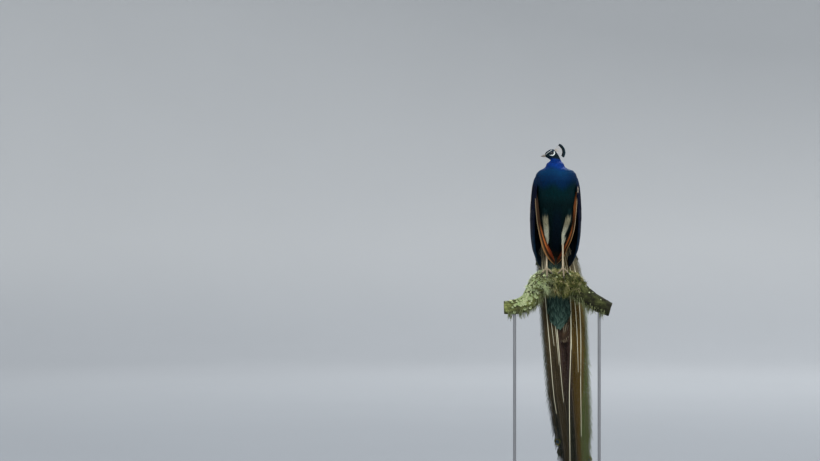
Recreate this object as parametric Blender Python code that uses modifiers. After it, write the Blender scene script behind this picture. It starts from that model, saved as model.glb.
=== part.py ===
"""A male Indian peafowl at rest on a cut length of branch, held by a plain display stand.

Metres, +Z up. The origin is the centre of the underside of the stand's base. The bird faces -Y, with its
head turned to its own right (-X). Run with: blender --background --python part.py
"""

import math

import bmesh
import bpy
import numpy as np
from mathutils import Vector

# ---- sizes that drive the model -------------------------------------------------------------------
PERCH_TOP = 1.280       # height of the perch where the feet grip it
FEET_Y = -0.080         # the feet stand forward of the base's centre, since the train hangs behind
GAP = 0.0003            # clearance between neighbouring nodes

HEAD_Y = -0.030         # head and neck top, fore and aft of the feet
EYE_RADIUS = 0.0046
EYE_X, EYE_Z = -0.0245, 0.6065
BILL_TIP = (-0.0822, 0.5890)
CREST_COUNT = 14
CREST_PLANE_SPREAD = 0.0035

ANKLE_Z = 0.1380
TARSUS_RADIUS = 0.0046
TOE_RADIUS = 0.0058
CLAW_LENGTH = 0.0150
SPUR_LENGTH = 0.0170

PERCH_RADIUS = 0.0580
PERCH_AXIS_Z = -0.0585
TRAIN_PARTS = ((0.280, -0.080), (-0.080, -0.420), (-0.420, -0.740))
PLUME_ROWS, PLUME_COLUMNS = 3, 5
LONGEST_PLUME_Z = -1.215

BASE_SIZE = (0.640, 0.480, 0.030)
BASE_BEVEL = 0.004
ROD_RADIUS = 0.0080
ROD_X = (-0.215, 0.225)
ROD_SEAT, ROD_SOCKET = 0.014, 0.020

# Stations of the body from the neck's top to the vent, relative to the feet:
# height, middle, half width, front, back.
BODY = (
    (0.5695, -0.0035, 0.0280, -0.0525, -0.0075),
    (0.5530, -0.0060, 0.0445, -0.0770, 0.0150),
    (0.5330, -0.0060, 0.0540, -0.0920, 0.0320),
    (0.5165, -0.0010, 0.0885, -0.1030, 0.0460),
    (0.4950, -0.0010, 0.1060, -0.1150, 0.0630),
    (0.4600, 0.0000, 0.1125, -0.1300, 0.0860),
    (0.4000, 0.0000, 0.1060, -0.1320, 0.1120),
    (0.3200, 0.0000, 0.1040, -0.1150, 0.1310),
    (0.2500, 0.0000, 0.0980, -0.0850, 0.1390),
    (0.1900, 0.0000, 0.0840, -0.0430, 0.1420),
    (0.1300, 0.0000, 0.0620, 0.0150, 0.1410),
    (0.0850, 0.0000, 0.0410, 0.0580, 0.1330),
    (0.0500, 0.0000, 0.0160, 0.0860, 0.1200),
)
NECK_SPLIT_Z, BREAST_Z, TRUNK_Z = 0.5420, 0.5000, 0.3100

# The head's outline in its own middle plane, from the nape to the bill's base:
# dorsal x and z, ventral x and z, half width.
HEAD = (
    (0.0245, 0.5698, -0.0315, 0.5698, 0.0225),
    (0.0165, 0.5870, -0.0325, 0.5718, 0.0212),
    (0.0094, 0.6000, -0.0360, 0.5742, 0.0200),
    (0.0025, 0.6098, -0.0395, 0.5766, 0.0192),
    (-0.0055, 0.6188, -0.0425, 0.5786, 0.0184),
    (-0.0170, 0.6272, -0.0455, 0.5803, 0.0176),
    (-0.0300, 0.6250, -0.0485, 0.5819, 0.0162),
    (-0.0410, 0.6185, -0.0515, 0.5834, 0.0140),
    (-0.0510, 0.6105, -0.0540, 0.5848, 0.0112),
    (-0.0600, 0.6020, -0.0565, 0.5862, 0.0078),
)

# Stations of a folded wing on the bird's left. Its section is a shell along part of an ellipse:
# height, middle x and y, half width, half depth, thickness.
WING = (
    (0.4940, 0.0620, -0.0040, 0.0400, 0.0400, 0.0080),
    (0.4780, 0.0600, -0.0020, 0.0530, 0.0620, 0.0130),
    (0.4520, 0.0550, 0.0000, 0.0665, 0.0880, 0.0200),
    (0.4160, 0.0520, 0.0020, 0.0755, 0.1040, 0.0240),
    (0.3640, 0.0500, 0.0080, 0.0820, 0.1100, 0.0260),
    (0.2700, 0.0500, 0.0220, 0.0865, 0.1130, 0.0260),
    (0.1900, 0.0560, 0.0360, 0.0780, 0.1060, 0.0240),
    (0.1300, 0.0660, 0.0480, 0.0610, 0.0880, 0.0210),
    (0.0950, 0.0730, 0.0560, 0.0460, 0.0700, 0.0180),
    (0.0600, 0.0720, 0.0640, 0.0340, 0.0520, 0.0150),
    (0.0300, 0.0690, 0.0720, 0.0220, 0.0340, 0.0110),
    (0.0080, 0.0660, 0.0800, 0.0100, 0.0160, 0.0060),
)
WING_ARC = (math.radians(-42), math.radians(90))
WING_EDGE = 0.35        # thickness at the shell's edges, as a share of its middle
WING_SPLIT_Z = 0.3150

# The folded primaries hang inside the wing's front edge and cross below the vent:
# height, middle x and y, half thickness, half depth. The right wing droops in front of its leg.
PRIMARIES = {
    "left": (
        (0.3900, 0.0990, -0.0800, 0.0050, 0.0160),
        (0.3016, 0.1045, -0.0760, 0.0065, 0.0240),
        (0.2030, 0.0930, -0.0480, 0.0075, 0.0280),
        (0.1360, 0.0702, -0.0050, 0.0070, 0.0280),
        (0.0868, 0.0468, 0.0410, 0.0065, 0.0210),
        (0.0480, 0.0180, 0.0600, 0.0050, 0.0140),
        (0.0300, 0.0036, 0.0660, 0.0030, 0.0060),
    ),
    "right": (
        (0.3900, -0.0990, -0.0800, 0.0050, 0.0160),
        (0.3100, -0.1000, -0.0760, 0.0065, 0.0240),
        (0.2500, -0.0940, -0.0640, 0.0075, 0.0280),
        (0.1716, -0.0735, -0.0400, 0.0075, 0.0280),
        (0.0936, -0.0430, -0.0220, 0.0065, 0.0240),
        (0.0480, -0.0215, -0.0020, 0.0050, 0.0150),
        (0.0330, -0.0140, 0.0040, 0.0030, 0.0060),
    ),
}

# Stations of a thigh: height, middle x (bird's left, bird's right), y, half width, half depth.
THIGH = (
    (0.3450, 0.0600, -0.0580, -0.0500, 0.0120, 0.0200),
    (0.3100, 0.0630, -0.0595, -0.0640, 0.0190, 0.0300),
    (0.2700, 0.0625, -0.0580, -0.0600, 0.0215, 0.0350),
    (0.2200, 0.0550, -0.0535, -0.0420, 0.0200, 0.0300),
    (0.1800, 0.0450, -0.0490, -0.0170, 0.0160, 0.0210),
    (0.1520, 0.0385, -0.0470, 0.0080, 0.0110, 0.0130),
    (ANKLE_Z, 0.0368, -0.0464, 0.0190, 0.0080, 0.0085),
)
ANKLE = {"left": (0.0368, 0.0190), "right": (-0.0464, 0.0190)}
FOOT_X = {"left": 0.0354, "right": -0.0490}
FOOT_Y = 0.0000

# Middle of the perch: x, z, radius. It is level and even where the feet grip it.
PERCH = (
    (-0.270, -0.196, 0.0350),
    (-0.205, -0.192, 0.0380),
    (-0.145, -0.168, 0.0430),
    (-0.108, -0.118, 0.0500),
    (-0.082, -0.0700, 0.0560),
    (-0.062, PERCH_AXIS_Z, PERCH_RADIUS),
    (0.052, PERCH_AXIS_Z, PERCH_RADIUS),
    (0.085, -0.0740, 0.0550),
    (0.125, -0.1100, 0.0490),
    (0.170, -0.1460, 0.0450),
    (0.225, -0.1790, 0.0420),
    (0.280, -0.2060, 0.0370),
)

# Tail and train: height, middle x, half width, front, back.
UNDERTAIL = (
    (0.0700, -0.0020, 0.0340, 0.0700, 0.1180),
    (0.0300, -0.0020, 0.0380, 0.0740, 0.1180),
    (-0.0500, 0.0040, 0.0460, 0.0770, 0.1180),
    (-0.1300, 0.0150, 0.0550, 0.0800, 0.1180),
    (-0.2100, 0.0230, 0.0560, 0.0840, 0.1180),
    (-0.2650, 0.0270, 0.0420, 0.0900, 0.1170),
    (-0.3000, 0.0290, 0.0140, 0.0980, 0.1140),
)
RECTRICES = (
    (0.0900, 0.0000, 0.0400, 0.1190, 0.1300),
    (0.0400, 0.0020, 0.0700, 0.1190, 0.1360),
    (-0.0800, 0.0180, 0.0900, 0.1190, 0.1380),
    (-0.2200, 0.0360, 0.1000, 0.1200, 0.1390),
    (-0.3100, 0.0470, 0.0960, 0.1230, 0.1390),
    (-0.3600, 0.0520, 0.0780, 0.1260, 0.1390),
    (-0.3900, 0.0550, 0.0300, 0.1300, 0.1380),
)
TRAIN = (
    (0.2800, 0.0000, 0.0400, 0.1100, 0.1385),
    (0.2300, 0.0000, 0.0650, 0.1150, 0.1520),
    (0.1500, 0.0010, 0.0880, 0.1250, 0.1760),
    (0.0800, 0.0100, 0.1040, 0.1370, 0.1980),
    (0.0000, 0.0250, 0.1140, 0.1395, 0.2200),
    (-0.1000, 0.0380, 0.1200, 0.1395, 0.2340),
    (-0.2600, 0.0530, 0.1240, 0.1395, 0.2410),
    (-0.4680, 0.0670, 0.1200, 0.1450, 0.2430),
    (-0.6760, 0.0810, 0.1150, 0.1600, 0.2430),
    (-0.7400, 0.0870, 0.1110, 0.1640, 0.2430),
)
PLUME_END_X, PLUME_END_PITCH = 0.1200, 0.0300

COLOURS = {
    "black_green": ((0.010, 0.030, 0.036), 0.55, 0.0),
    "cobalt": ((0.010, 0.050, 0.260), 0.40, 0.2),
    "navy_teal": ((0.006, 0.035, 0.080), 0.45, 0.2),
    "dark_green": ((0.008, 0.030, 0.026), 0.60, 0.1),
    "blue_black": ((0.008, 0.016, 0.040), 0.50, 0.0),
    "barred_buff": ((0.120, 0.095, 0.070), 0.70, 0.0),
    "chestnut": ((0.360, 0.130, 0.035), 0.65, 0.0),
    "buff": ((0.330, 0.260, 0.180), 0.80, 0.0),
    "leg_horn": ((0.420, 0.360, 0.270), 0.60, 0.0),
    "bill_horn": ((0.360, 0.330, 0.280), 0.40, 0.0),
    "claw_horn": ((0.070, 0.058, 0.048), 0.40, 0.0),
    "eye_brown": ((0.020, 0.010, 0.006), 0.08, 0.0),
    "ash_brown": ((0.150, 0.120, 0.090), 0.75, 0.0),
    "train_bronze": ((0.120, 0.110, 0.050), 0.60, 0.2),
    "moss_bark": ((0.075, 0.085, 0.035), 0.95, 0.0),
    "stand_black": ((0.022, 0.022, 0.024), 0.45, 0.0),
    "stand_steel": ((0.450, 0.450, 0.460), 0.35, 1.0),
}

PARTS = "peacock_on_perch"
CUTTERS = "cutters"


# ---- scene, materials and modifiers ---------------------------------------------------------------
def clear_scene():
    for obj in list(bpy.data.objects):
        bpy.data.objects.remove(obj)
    for name in (PARTS, CUTTERS):
        collection = bpy.data.collections.new(name)
        bpy.context.scene.collection.children.link(collection)


def material(name):
    """The named Principled material, made once."""
    found = bpy.data.materials.get(name)
    if found:
        return found
    colour, roughness, metallic = COLOURS[name]
    made = bpy.data.materials.new(name)
    made.use_nodes = True
    shader = made.node_tree.nodes["Principled BSDF"]
    shader.inputs["Base Color"].default_value = (*colour, 1.0)
    shader.inputs["Roughness"].default_value = roughness
    shader.inputs["Metallic"].default_value = metallic
    return made


def make_object(name, mesh, colour, collection=PARTS):
    obj = bpy.data.objects.new(name, mesh)
    obj.location = (0.0, FEET_Y, PERCH_TOP)
    bpy.data.collections[collection].objects.link(obj)
    if colour:
        mesh.materials.append(material(colour))
    if collection == CUTTERS:
        obj.hide_render = True
        obj.display_type = "WIRE"
    return obj


def boolean(obj, cutter, operation="DIFFERENCE"):
    """A Boolean by one object, or by every object of a collection."""
    modifier = obj.modifiers.new(cutter.name, "BOOLEAN")
    modifier.operation = operation
    modifier.solver = "EXACT"
    if isinstance(cutter, bpy.types.Collection):
        modifier.operand_type = "COLLECTION"
        modifier.collection = cutter
    else:
        modifier.object = cutter


def grown(obj, by=GAP):
    """A cutter: the object's own mesh with each point moved out along its normal."""
    mesh = obj.data.copy()
    mesh.materials.clear()
    shape = bmesh.new()
    shape.from_mesh(mesh)
    shape.normal_update()
    moves = [(vert, vert.normal.copy()) for vert in shape.verts]
    for vert, normal in moves:
        vert.co += normal * (by * 1.25)
    shape.to_mesh(mesh)
    shape.free()
    cutter = make_object(f"{obj.name}_cutter", mesh, None, CUTTERS)
    cutter.matrix_world = obj.matrix_world.copy()
    cutter.location = obj.location
    return cutter


def smooth(mesh, angle=math.radians(50)):
    mesh.shade_smooth()
    mesh.set_sharp_from_angle(angle=angle)


# ---- lofts ----------------------------------------------------------------------------------------
def rows_at(keys, where):
    """Rows of a station table at the given values of its first column, by monotone cubic curves."""
    table = np.array(sorted(keys), dtype=float)
    xs, ys = table[:, 0], table[:, 1:]
    step = np.diff(xs)[:, None]
    secant = np.diff(ys, axis=0) / step
    slope = np.zeros_like(ys)
    slope[0], slope[-1] = secant[0], secant[-1]
    a, b = secant[:-1], secant[1:]
    same = a * b > 0
    slope[1:-1][same] = (2 * a * b / np.where(same, a + b, 1.0))[same]
    rows = []
    for x in where:
        i = int(np.clip(np.searchsorted(xs, x) - 1, 0, len(xs) - 2))
        h = xs[i + 1] - xs[i]
        t = (x - xs[i]) / h
        value = (
            (1 + 2 * t) * (1 - t) ** 2 * ys[i]
            + t * (1 - t) ** 2 * h * slope[i]
            + t * t * (3 - 2 * t) * ys[i + 1]
            + t * t * (t - 1) * h * slope[i + 1]
        )
        rows.append((float(x), *(float(v) for v in value)))
    return rows


def oval(middle, across, along, half_across, half_along, count, power=2.0):
    """A closed ring of points in the plane of two unit vectors."""
    ring = []
    for i in range(count):
        turn = 2 * math.pi * i / count
        c, s = math.cos(turn), math.sin(turn)
        c = math.copysign(abs(c) ** (2 / power), c)
        s = math.copysign(abs(s) ** (2 / power), s)
        ring.append(Vector(middle) + across * (half_across * c) + along * (half_along * s))
    return ring


def loft_mesh(name, rings):
    """One closed body through rings of equal count, capped at both ends.

    The sides are split the same way every time, so that a grown copy of a loft clears it all over.
    """
    shape = bmesh.new()
    loops = [[shape.verts.new(point) for point in ring] for ring in rings]
    for lower, upper in zip(loops, loops[1:]):
        for i, vert in enumerate(lower):
            j = (i + 1) % len(lower)
            shape.faces.new((vert, lower[j], upper[j]))
            shape.faces.new((vert, upper[j], upper[i]))
    shape.faces.new(loops[0])
    shape.faces.new(loops[-1])
    bmesh.ops.recalc_face_normals(shape, faces=shape.faces)
    mesh = bpy.data.meshes.new(name)
    shape.to_mesh(mesh)
    shape.free()
    smooth(mesh)
    return mesh


X, Y, Z = Vector((1, 0, 0)), Vector((0, 1, 0)), Vector((0, 0, 1))


def level_rings(keys, heights, count, power=2.0):
    """Level rings of a table of height, middle x, half width, front and back."""
    rings = []
    for z, x, half, front, back in rows_at(keys, heights):
        rings.append(oval((x, (front + back) / 2, z), X, Y, half, (back - front) / 2, count, power))
    return rings


def level_loft(name, keys, top, bottom, steps, count, colour, power=2.0):
    heights = np.linspace(top, bottom, steps)
    return make_object(name, loft_mesh(name, level_rings(keys, heights, count, power)), colour)


def tube_rings(points, radii, count, flat=1.0, up=Z):
    """Rings along a path. flat scales the radius along the ring's second direction."""
    rings = []
    for i, point in enumerate(points):
        before, after = points[max(i - 1, 0)], points[min(i + 1, len(points) - 1)]
        tangent = (after - before).normalized()
        across = tangent.cross(up).normalized()
        rings.append(oval(point, across, across.cross(tangent), radii[i], radii[i] * flat, count))
    return rings


# ---- the bird -------------------------------------------------------------------------------------
def body_spans():
    """Named lengths of the body with the heights of their rings."""
    return (
        ("neck_upper", 0.5695 - GAP / 2, NECK_SPLIT_Z + GAP / 2, 4, "cobalt"),
        ("neck_lower", NECK_SPLIT_Z - GAP / 2, BREAST_Z + GAP / 2, 6, "cobalt"),
        ("breast", BREAST_Z - GAP / 2, TRUNK_Z + GAP / 2, 6, "navy_teal"),
        ("trunk", TRUNK_Z - GAP / 2, 0.0500, 9, "dark_green"),
    )


def build_body():
    """Neck, breast and trunk as lengths of one loft. Returns the cutter of the whole loft."""
    heights = []
    for name, top, bottom, steps, colour in body_spans():
        level_loft(name, BODY, top, bottom, steps, 24, colour)
        heights += list(np.linspace(top, bottom, steps))
    core = make_object("body", loft_mesh("body", level_rings(BODY, heights, 24)), None, CUTTERS)
    cutter = grown(core)
    bpy.data.objects.remove(core)
    return cutter


def build_head():
    rings = []
    for i, (dx, dz, vx, vz, side) in enumerate(HEAD):
        dorsal, ventral = Vector((dx, HEAD_Y, dz)), Vector((vx, HEAD_Y, vz))
        half = (dorsal - ventral) / 2
        power = 2.0 + 0.25 * math.sin(math.pi * i / (len(HEAD) - 1))
        middle = (dorsal + ventral) / 2
        rings.append(oval(middle, Y, half.normalized(), side, half.length, 16, power))
    head = make_object("head", loft_mesh("head", rings), "black_green")
    cutter = grown(head)
    for side, sign in (("left", -1), ("right", 1)):
        mesh = bpy.data.meshes.new(f"eye_{side}")
        shape = bmesh.new()
        bmesh.ops.create_uvsphere(shape, u_segments=12, v_segments=8, radius=EYE_RADIUS)
        shape.to_mesh(mesh)
        shape.free()
        mesh.shade_smooth()
        eye = make_object(f"eye_{side}", mesh, "eye_brown")
        eye.location += Vector((EYE_X, HEAD_Y + sign * 0.0138, EYE_Z))
        eye.rotation_euler = (math.radians(90), 0, 0)
        boolean(head, grown_copy(eye))
    return cutter


def grown_copy(eye):
    """The socket's cutter for an eye placed by its location and rotation."""
    cutter = grown(eye)
    cutter.rotation_euler = eye.rotation_euler
    return cutter


def build_bill():
    """Two horn mandibles that meet along a slightly drooping line."""
    base, tip = Vector((-0.0598, HEAD_Y, 0.5975)), Vector((BILL_TIP[0], HEAD_Y, BILL_TIP[1]))
    upper, lower = [], []
    for t in (0.0, 0.25, 0.5, 0.75, 0.92, 1.0):
        x = base.x + (tip.x - base.x) * t
        gape = 0.5925 - 0.0030 * t - 0.0012 * math.sin(math.pi * t)
        ridge = 0.6015 + (tip.z - 0.6015) * t**1.7 + 0.0014 * math.sin(math.pi * t)
        high = max((ridge - gape - GAP) / 2, 0.0006)
        middle = (x, HEAD_Y, gape + GAP / 2 + high)
        upper.append(oval(middle, Y, Z, 0.0062 * (1 - t) ** 0.7 + 0.0007, high, 10))
        s = t * 0.86
        x = base.x + (tip.x - base.x) * s
        gape = 0.5925 - 0.0030 * s - 0.0012 * math.sin(math.pi * s)
        deep = 0.0029 * (1 - t) ** 0.8 + 0.0005
        middle = (x, HEAD_Y, gape - GAP / 2 - deep)
        lower.append(oval(middle, Y, Z, 0.0054 * (1 - t) ** 0.7 + 0.0006, deep, 10))
    # The back ends lean with the head's front face, so that they meet it along its slope.
    for rings in (upper, lower):
        for point in rings[0]:
            point.x = -0.0600 - GAP * 1.2 + (0.6020 - point.z) * 0.2215
    make_object("upper_bill", loft_mesh("upper_bill", upper), "bill_horn")
    make_object("lower_bill", loft_mesh("lower_bill", lower), "bill_horn")


def build_crest(head_cutter):
    """A fan of bare shafts that end in vanes, on a small root behind the crown."""
    fan = bpy.data.collections.new("crest_fan")
    bpy.data.collections[CUTTERS].children.link(fan)
    fan.hide_render = True
    mesh = bpy.data.meshes.new("crest")
    shape = bmesh.new()
    bmesh.ops.create_uvsphere(shape, u_segments=10, v_segments=6, radius=0.0048)
    shape.to_mesh(mesh)
    shape.free()
    mesh.shade_smooth()
    crest = make_object("crest", mesh, "black_green")
    root = Vector((-0.0080, HEAD_Y, 0.6232))
    crest.location += root
    for i in range(CREST_COUNT):
        t = i / (CREST_COUNT - 1)
        turn = math.radians(47 - 83 * t)
        length = 0.049 + 0.019 * math.sin(math.pi * min(t * 0.62, 0.5))
        aside = CREST_PLANE_SPREAD * (-1, 0.4, 1, -0.4)[i % 4]
        way = Vector((math.cos(turn), 0, math.sin(turn)))
        foot = root + Vector((0.0022, 0, -0.0018)) * (t - 0.5)
        points, radii = [], []
        for s, radius in ((0, 0.00045), (0.70, 0.00035), (0.79, 0.0018), (0.91, 0.0027), (1, 0.0009)):
            bend = Vector((0, aside * s, -0.0015 * s * s))
            points.append(foot + way * (length * s) + bend)
            radii.append(radius)
        rings = []
        for point, radius in zip(points, radii):
            across = way.cross(Y).normalized()
            rings.append(oval(point, across, Y, radius, min(radius, 0.0005), 4))
        feather = bpy.data.objects.new(f"crest_{i}", loft_mesh(f"crest_{i}", rings))
        feather.location = (0.0, FEET_Y, PERCH_TOP)
        feather.hide_render = True
        feather.display_type = "WIRE"
        fan.objects.link(feather)
    boolean(crest, fan, "UNION")
    boolean(crest, head_cutter)


def wing_ring(sign, z, x, y, wide, deep, thick, count=8):
    """A level section of a folded wing: out along the arc, and back along its inner side."""
    outer, inner = [], []
    for i in range(count):
        t = i / (count - 1)
        turn = WING_ARC[0] + (WING_ARC[1] - WING_ARC[0]) * t
        point = Vector((x + wide * math.cos(turn), y + deep * math.sin(turn), z))
        normal = Vector((math.cos(turn) / wide, math.sin(turn) / deep, 0)).normalized()
        depth = thick * (WING_EDGE + (1 - WING_EDGE) * math.sin(math.pi * t))
        outer.append(point)
        inner.append(point - normal * depth)
    ring = outer + inner[::-1]
    return [Vector((sign * point.x, point.y, point.z)) for point in ring]


def build_wings(body_cutter):
    """Each wing in three: coverts, secondaries and the long primaries. Returns all their cutters."""
    all_cutters = []
    for side, sign in (("left", 1), ("right", -1)):
        name = f"wing_{side}_primaries"
        rows = rows_at(PRIMARIES[side], np.linspace(0.390, PRIMARIES[side][-1][0], 11))
        rings = [oval((x, y, z), X, Y, thick, deep, 10) for z, x, y, thick, deep in rows]
        blade = make_object(name, loft_mesh(name, rings), "chestnut")
        boolean(blade, body_cutter)
        boolean(blade, bpy.data.objects[f"thigh_{side}_cutter"])
        blade_cutter = grown(blade)
        all_cutters.append(blade_cutter)
        whole = []
        for piece, top, bottom, steps, colour in (
            ("coverts", 0.494, WING_SPLIT_Z + GAP / 2, 7, "barred_buff"),
            ("secondaries", WING_SPLIT_Z - GAP / 2, 0.008, 10, "blue_black"),
        ):
            name = f"wing_{side}_{piece}"
            rings = []
            for row in rows_at(WING, np.linspace(top, bottom, steps)):
                rings.append(wing_ring(sign, *row))
            wing = make_object(name, loft_mesh(name, rings), colour)
            boolean(wing, body_cutter)
            boolean(wing, blade_cutter)
            boolean(wing, bpy.data.objects[f"thigh_{side}_cutter"])
            whole += rings
        core = make_object(f"wing_{side}", loft_mesh(f"wing_{side}", whole), None, CUTTERS)
        all_cutters.append(grown(core))
        bpy.data.objects.remove(core)
    return all_cutters


def build_legs(body_cutter):
    for side in ("left", "right"):
        rings = []
        for z, left, right, y, wide, deep in rows_at(THIGH, np.linspace(THIGH[0][0], ANKLE_Z, 9)):
            rings.append(oval((left if side == "left" else right, y, z), X, Y, wide, deep, 14))
        thigh = make_object(f"thigh_{side}", loft_mesh(f"thigh_{side}", rings), "buff")
        boolean(thigh, body_cutter)
        grown(thigh)
        boolean(build_tarsus(side), body_cutter)
        build_foot(side)


def build_tarsus(side):
    x, y = ANKLE[side]
    top = Vector((x, y, ANKLE_Z - GAP))
    foot = Vector((FOOT_X[side], FOOT_Y, 0.0165))
    points = [top.lerp(foot, t) for t in (0.0, 0.07, 0.16, 0.55, 0.88, 1.0)]
    scale = (1.10, 1.32, 1.02, 0.94, 1.05, 1.25)
    rings = tube_rings(points, [TARSUS_RADIUS * s for s in scale], 10, 1.12, Y)
    for point in rings[0]:
        point.z = ANKLE_Z - GAP
    for point in rings[-1]:
        point.z = 0.0165
    shank = make_object(f"tarsus_{side}", loft_mesh(f"tarsus_{side}", rings), "leg_horn")
    # The spur stands on the inner back of the shank, a third of the way up.
    inward = -1 if side == "left" else 1
    way = Vector((0.35 * inward, 0.88, -0.12)).normalized()
    start = foot.lerp(top, 0.30) + way * (TARSUS_RADIUS * 1.12 + GAP)
    points = [start + way * (SPUR_LENGTH * t) + Z * (0.002 * t * t) for t in (0, 0.4, 0.75, 1)]
    rings = tube_rings(points, [0.0032, 0.0024, 0.0014, 0.0005], 8)
    make_object(f"spur_{side}", loft_mesh(f"spur_{side}", rings), "claw_horn")
    return shank


def over_perch(x, y, turn, radius):
    """A point above the perch's level length, turned about its axis. Positive turns go forward."""
    return Vector((x, y - radius * math.sin(turn), PERCH_AXIS_Z + radius * math.cos(turn)))


TOES = (("inner", -0.42, 0.052), ("middle", 0.02, 0.074), ("outer", 0.44, 0.056), ("hind", math.pi, 0.028))


def build_foot(side):
    """Three front toes and a hind toe that follow the perch's round, with claws of their own."""
    digits = bpy.data.collections.new(f"foot_{side}_toes")
    bpy.data.collections[CUTTERS].children.link(digits)
    digits.hide_render = True
    mesh = bpy.data.meshes.new(f"foot_{side}")
    shape = bmesh.new()
    bmesh.ops.create_uvsphere(shape, u_segments=10, v_segments=6, radius=0.0084)
    shape.to_mesh(mesh)
    shape.free()
    mesh.shade_smooth()
    foot = make_object(f"foot_{side}", mesh, "leg_horn")
    foot.location += Vector((FOOT_X[side], FOOT_Y, 0.0165 - GAP - 0.0084))
    reach = PERCH_RADIUS + TOE_RADIUS + GAP
    mirror = 1 if side == "left" else -1
    for toe, spread, length in TOES:
        ahead, aside = math.cos(spread), math.sin(spread) * mirror
        points, radii = [], []
        for t in np.linspace(0, 1, 5):
            run = length * t
            turn = run * ahead / reach
            points.append(over_perch(FOOT_X[side] + run * aside, FOOT_Y, turn, reach))
            swell = 1 + 0.10 * math.cos(t * 3 * 2 * math.pi)
            radii.append(TOE_RADIUS * (0.98 - 0.30 * t) * min(swell, 1.02))
        rings = tube_rings(points, radii, 6, 1.0, X)
        digit = bpy.data.objects.new(f"toe_{side}_{toe}", loft_mesh(f"toe_{side}_{toe}", rings))
        digit.location = (0.0, FEET_Y, PERCH_TOP)
        digit.hide_render = True
        digit.display_type = "WIRE"
        digits.objects.link(digit)
        build_claw(side, toe, points, radii[-1], reach)
    boolean(foot, digits, "UNION")


def build_claw(side, toe, points, radius, reach):
    way = (points[-1] - points[-2]).normalized()
    axis = Vector((points[-1].x, FOOT_Y, PERCH_AXIS_Z))
    inward = (axis - points[-1]).normalized()
    start = points[-1] + way * GAP
    path = []
    for t in (0.0, 0.3, 0.6, 0.85, 1.0):
        path.append(start + way * (CLAW_LENGTH * t) + inward * (0.0035 * t * t - 0.0010 * t))
    rings = tube_rings(path, [radius * s for s in (0.92, 0.80, 0.58, 0.34, 0.12)], 6, 1.0, X)
    turn = way
    for point in rings[0]:
        point -= turn * (point - start).dot(turn)
    name = f"claw_{side}_{toe}"
    make_object(name, loft_mesh(name, rings), "claw_horn")


def build_tail(body_cutter, wing_cutters):
    under = level_loft("undertail_coverts", UNDERTAIL, 0.070, -0.300, 8, 12, "dark_green", 2.2)
    quills = level_loft("tail_rectrices", RECTRICES, 0.090, -0.390, 9, 12, "ash_brown", 2.6)
    for piece in (under, quills):
        boolean(piece, body_cutter)
        for cutter in wing_cutters:
            boolean(piece, cutter)
    for name, (top, bottom), steps in zip(
        ("train_upper", "train_middle", "train_lower"), TRAIN_PARTS, (8, 6, 5)
    ):
        top -= GAP / 2
        bottom += GAP / 2
        piece = level_loft(name, TRAIN, top, bottom, steps, 18, "train_bronze", 2.5)
        if name == "train_upper":
            boolean(piece, body_cutter)
            for cutter in wing_cutters:
                boolean(piece, cutter)


def build_plumes():
    """The train's long plumes below the level where the shorter ones end, in rows from front to back."""
    _, x0, half, front, back = rows_at(TRAIN, [TRAIN_PARTS[-1][1]])[0]
    top = TRAIN_PARTS[-1][1] - GAP / 2
    pitch = 2 * half / (PLUME_COLUMNS + 0.45)
    layer = (back - front) / PLUME_ROWS
    for row in range(PLUME_ROWS):
        for column in range(PLUME_COLUMNS):
            place = column - (PLUME_COLUMNS - 1) / 2 + 0.44 * (row % 2) - 0.22
            aside = place / ((PLUME_COLUMNS - 1) / 2)
            end_z = LONGEST_PLUME_Z + 0.185 * abs(aside) ** 1.6 + 0.022 * (PLUME_ROWS - 1 - row)
            y = front + layer * (row + 0.5)
            rings = []
            for t, share, depth in (
                (0.0, 0.97, 0.0118),
                (0.50, 0.94, 0.0075),
                (0.78, 0.80, 0.0048),
                (0.92, 0.95, 0.0034),
                (1.0, 0.30, 0.0016),
            ):
                z = top + (end_z - top) * t
                drawn = 1 - (1 - (top - z) / (top - LONGEST_PLUME_Z)) ** 1.4
                local = pitch + (PLUME_END_PITCH - pitch) * drawn
                x = x0 + (PLUME_END_X - x0) * drawn + place * local
                rings.append(oval((x, y + 0.004 * t, z), X, Y, share * local / 2, depth, 8, 2.3))
            name = f"train_plume_{row + 1}_{column + 1}"
            make_object(name, loft_mesh(name, rings), "train_bronze")


# ---- perch and stand ------------------------------------------------------------------------------
def build_perch():
    rows = rows_at(PERCH, np.linspace(PERCH[0][0], PERCH[-1][0], 19))
    points = [Vector((x, 0, z)) for x, z, _ in rows]
    radii = [radius for *_, radius in rows]
    perch = make_object("perch", loft_mesh("perch", tube_rings(points, radii, 12, 1.0, Y)), "moss_bark")
    return perch


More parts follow.
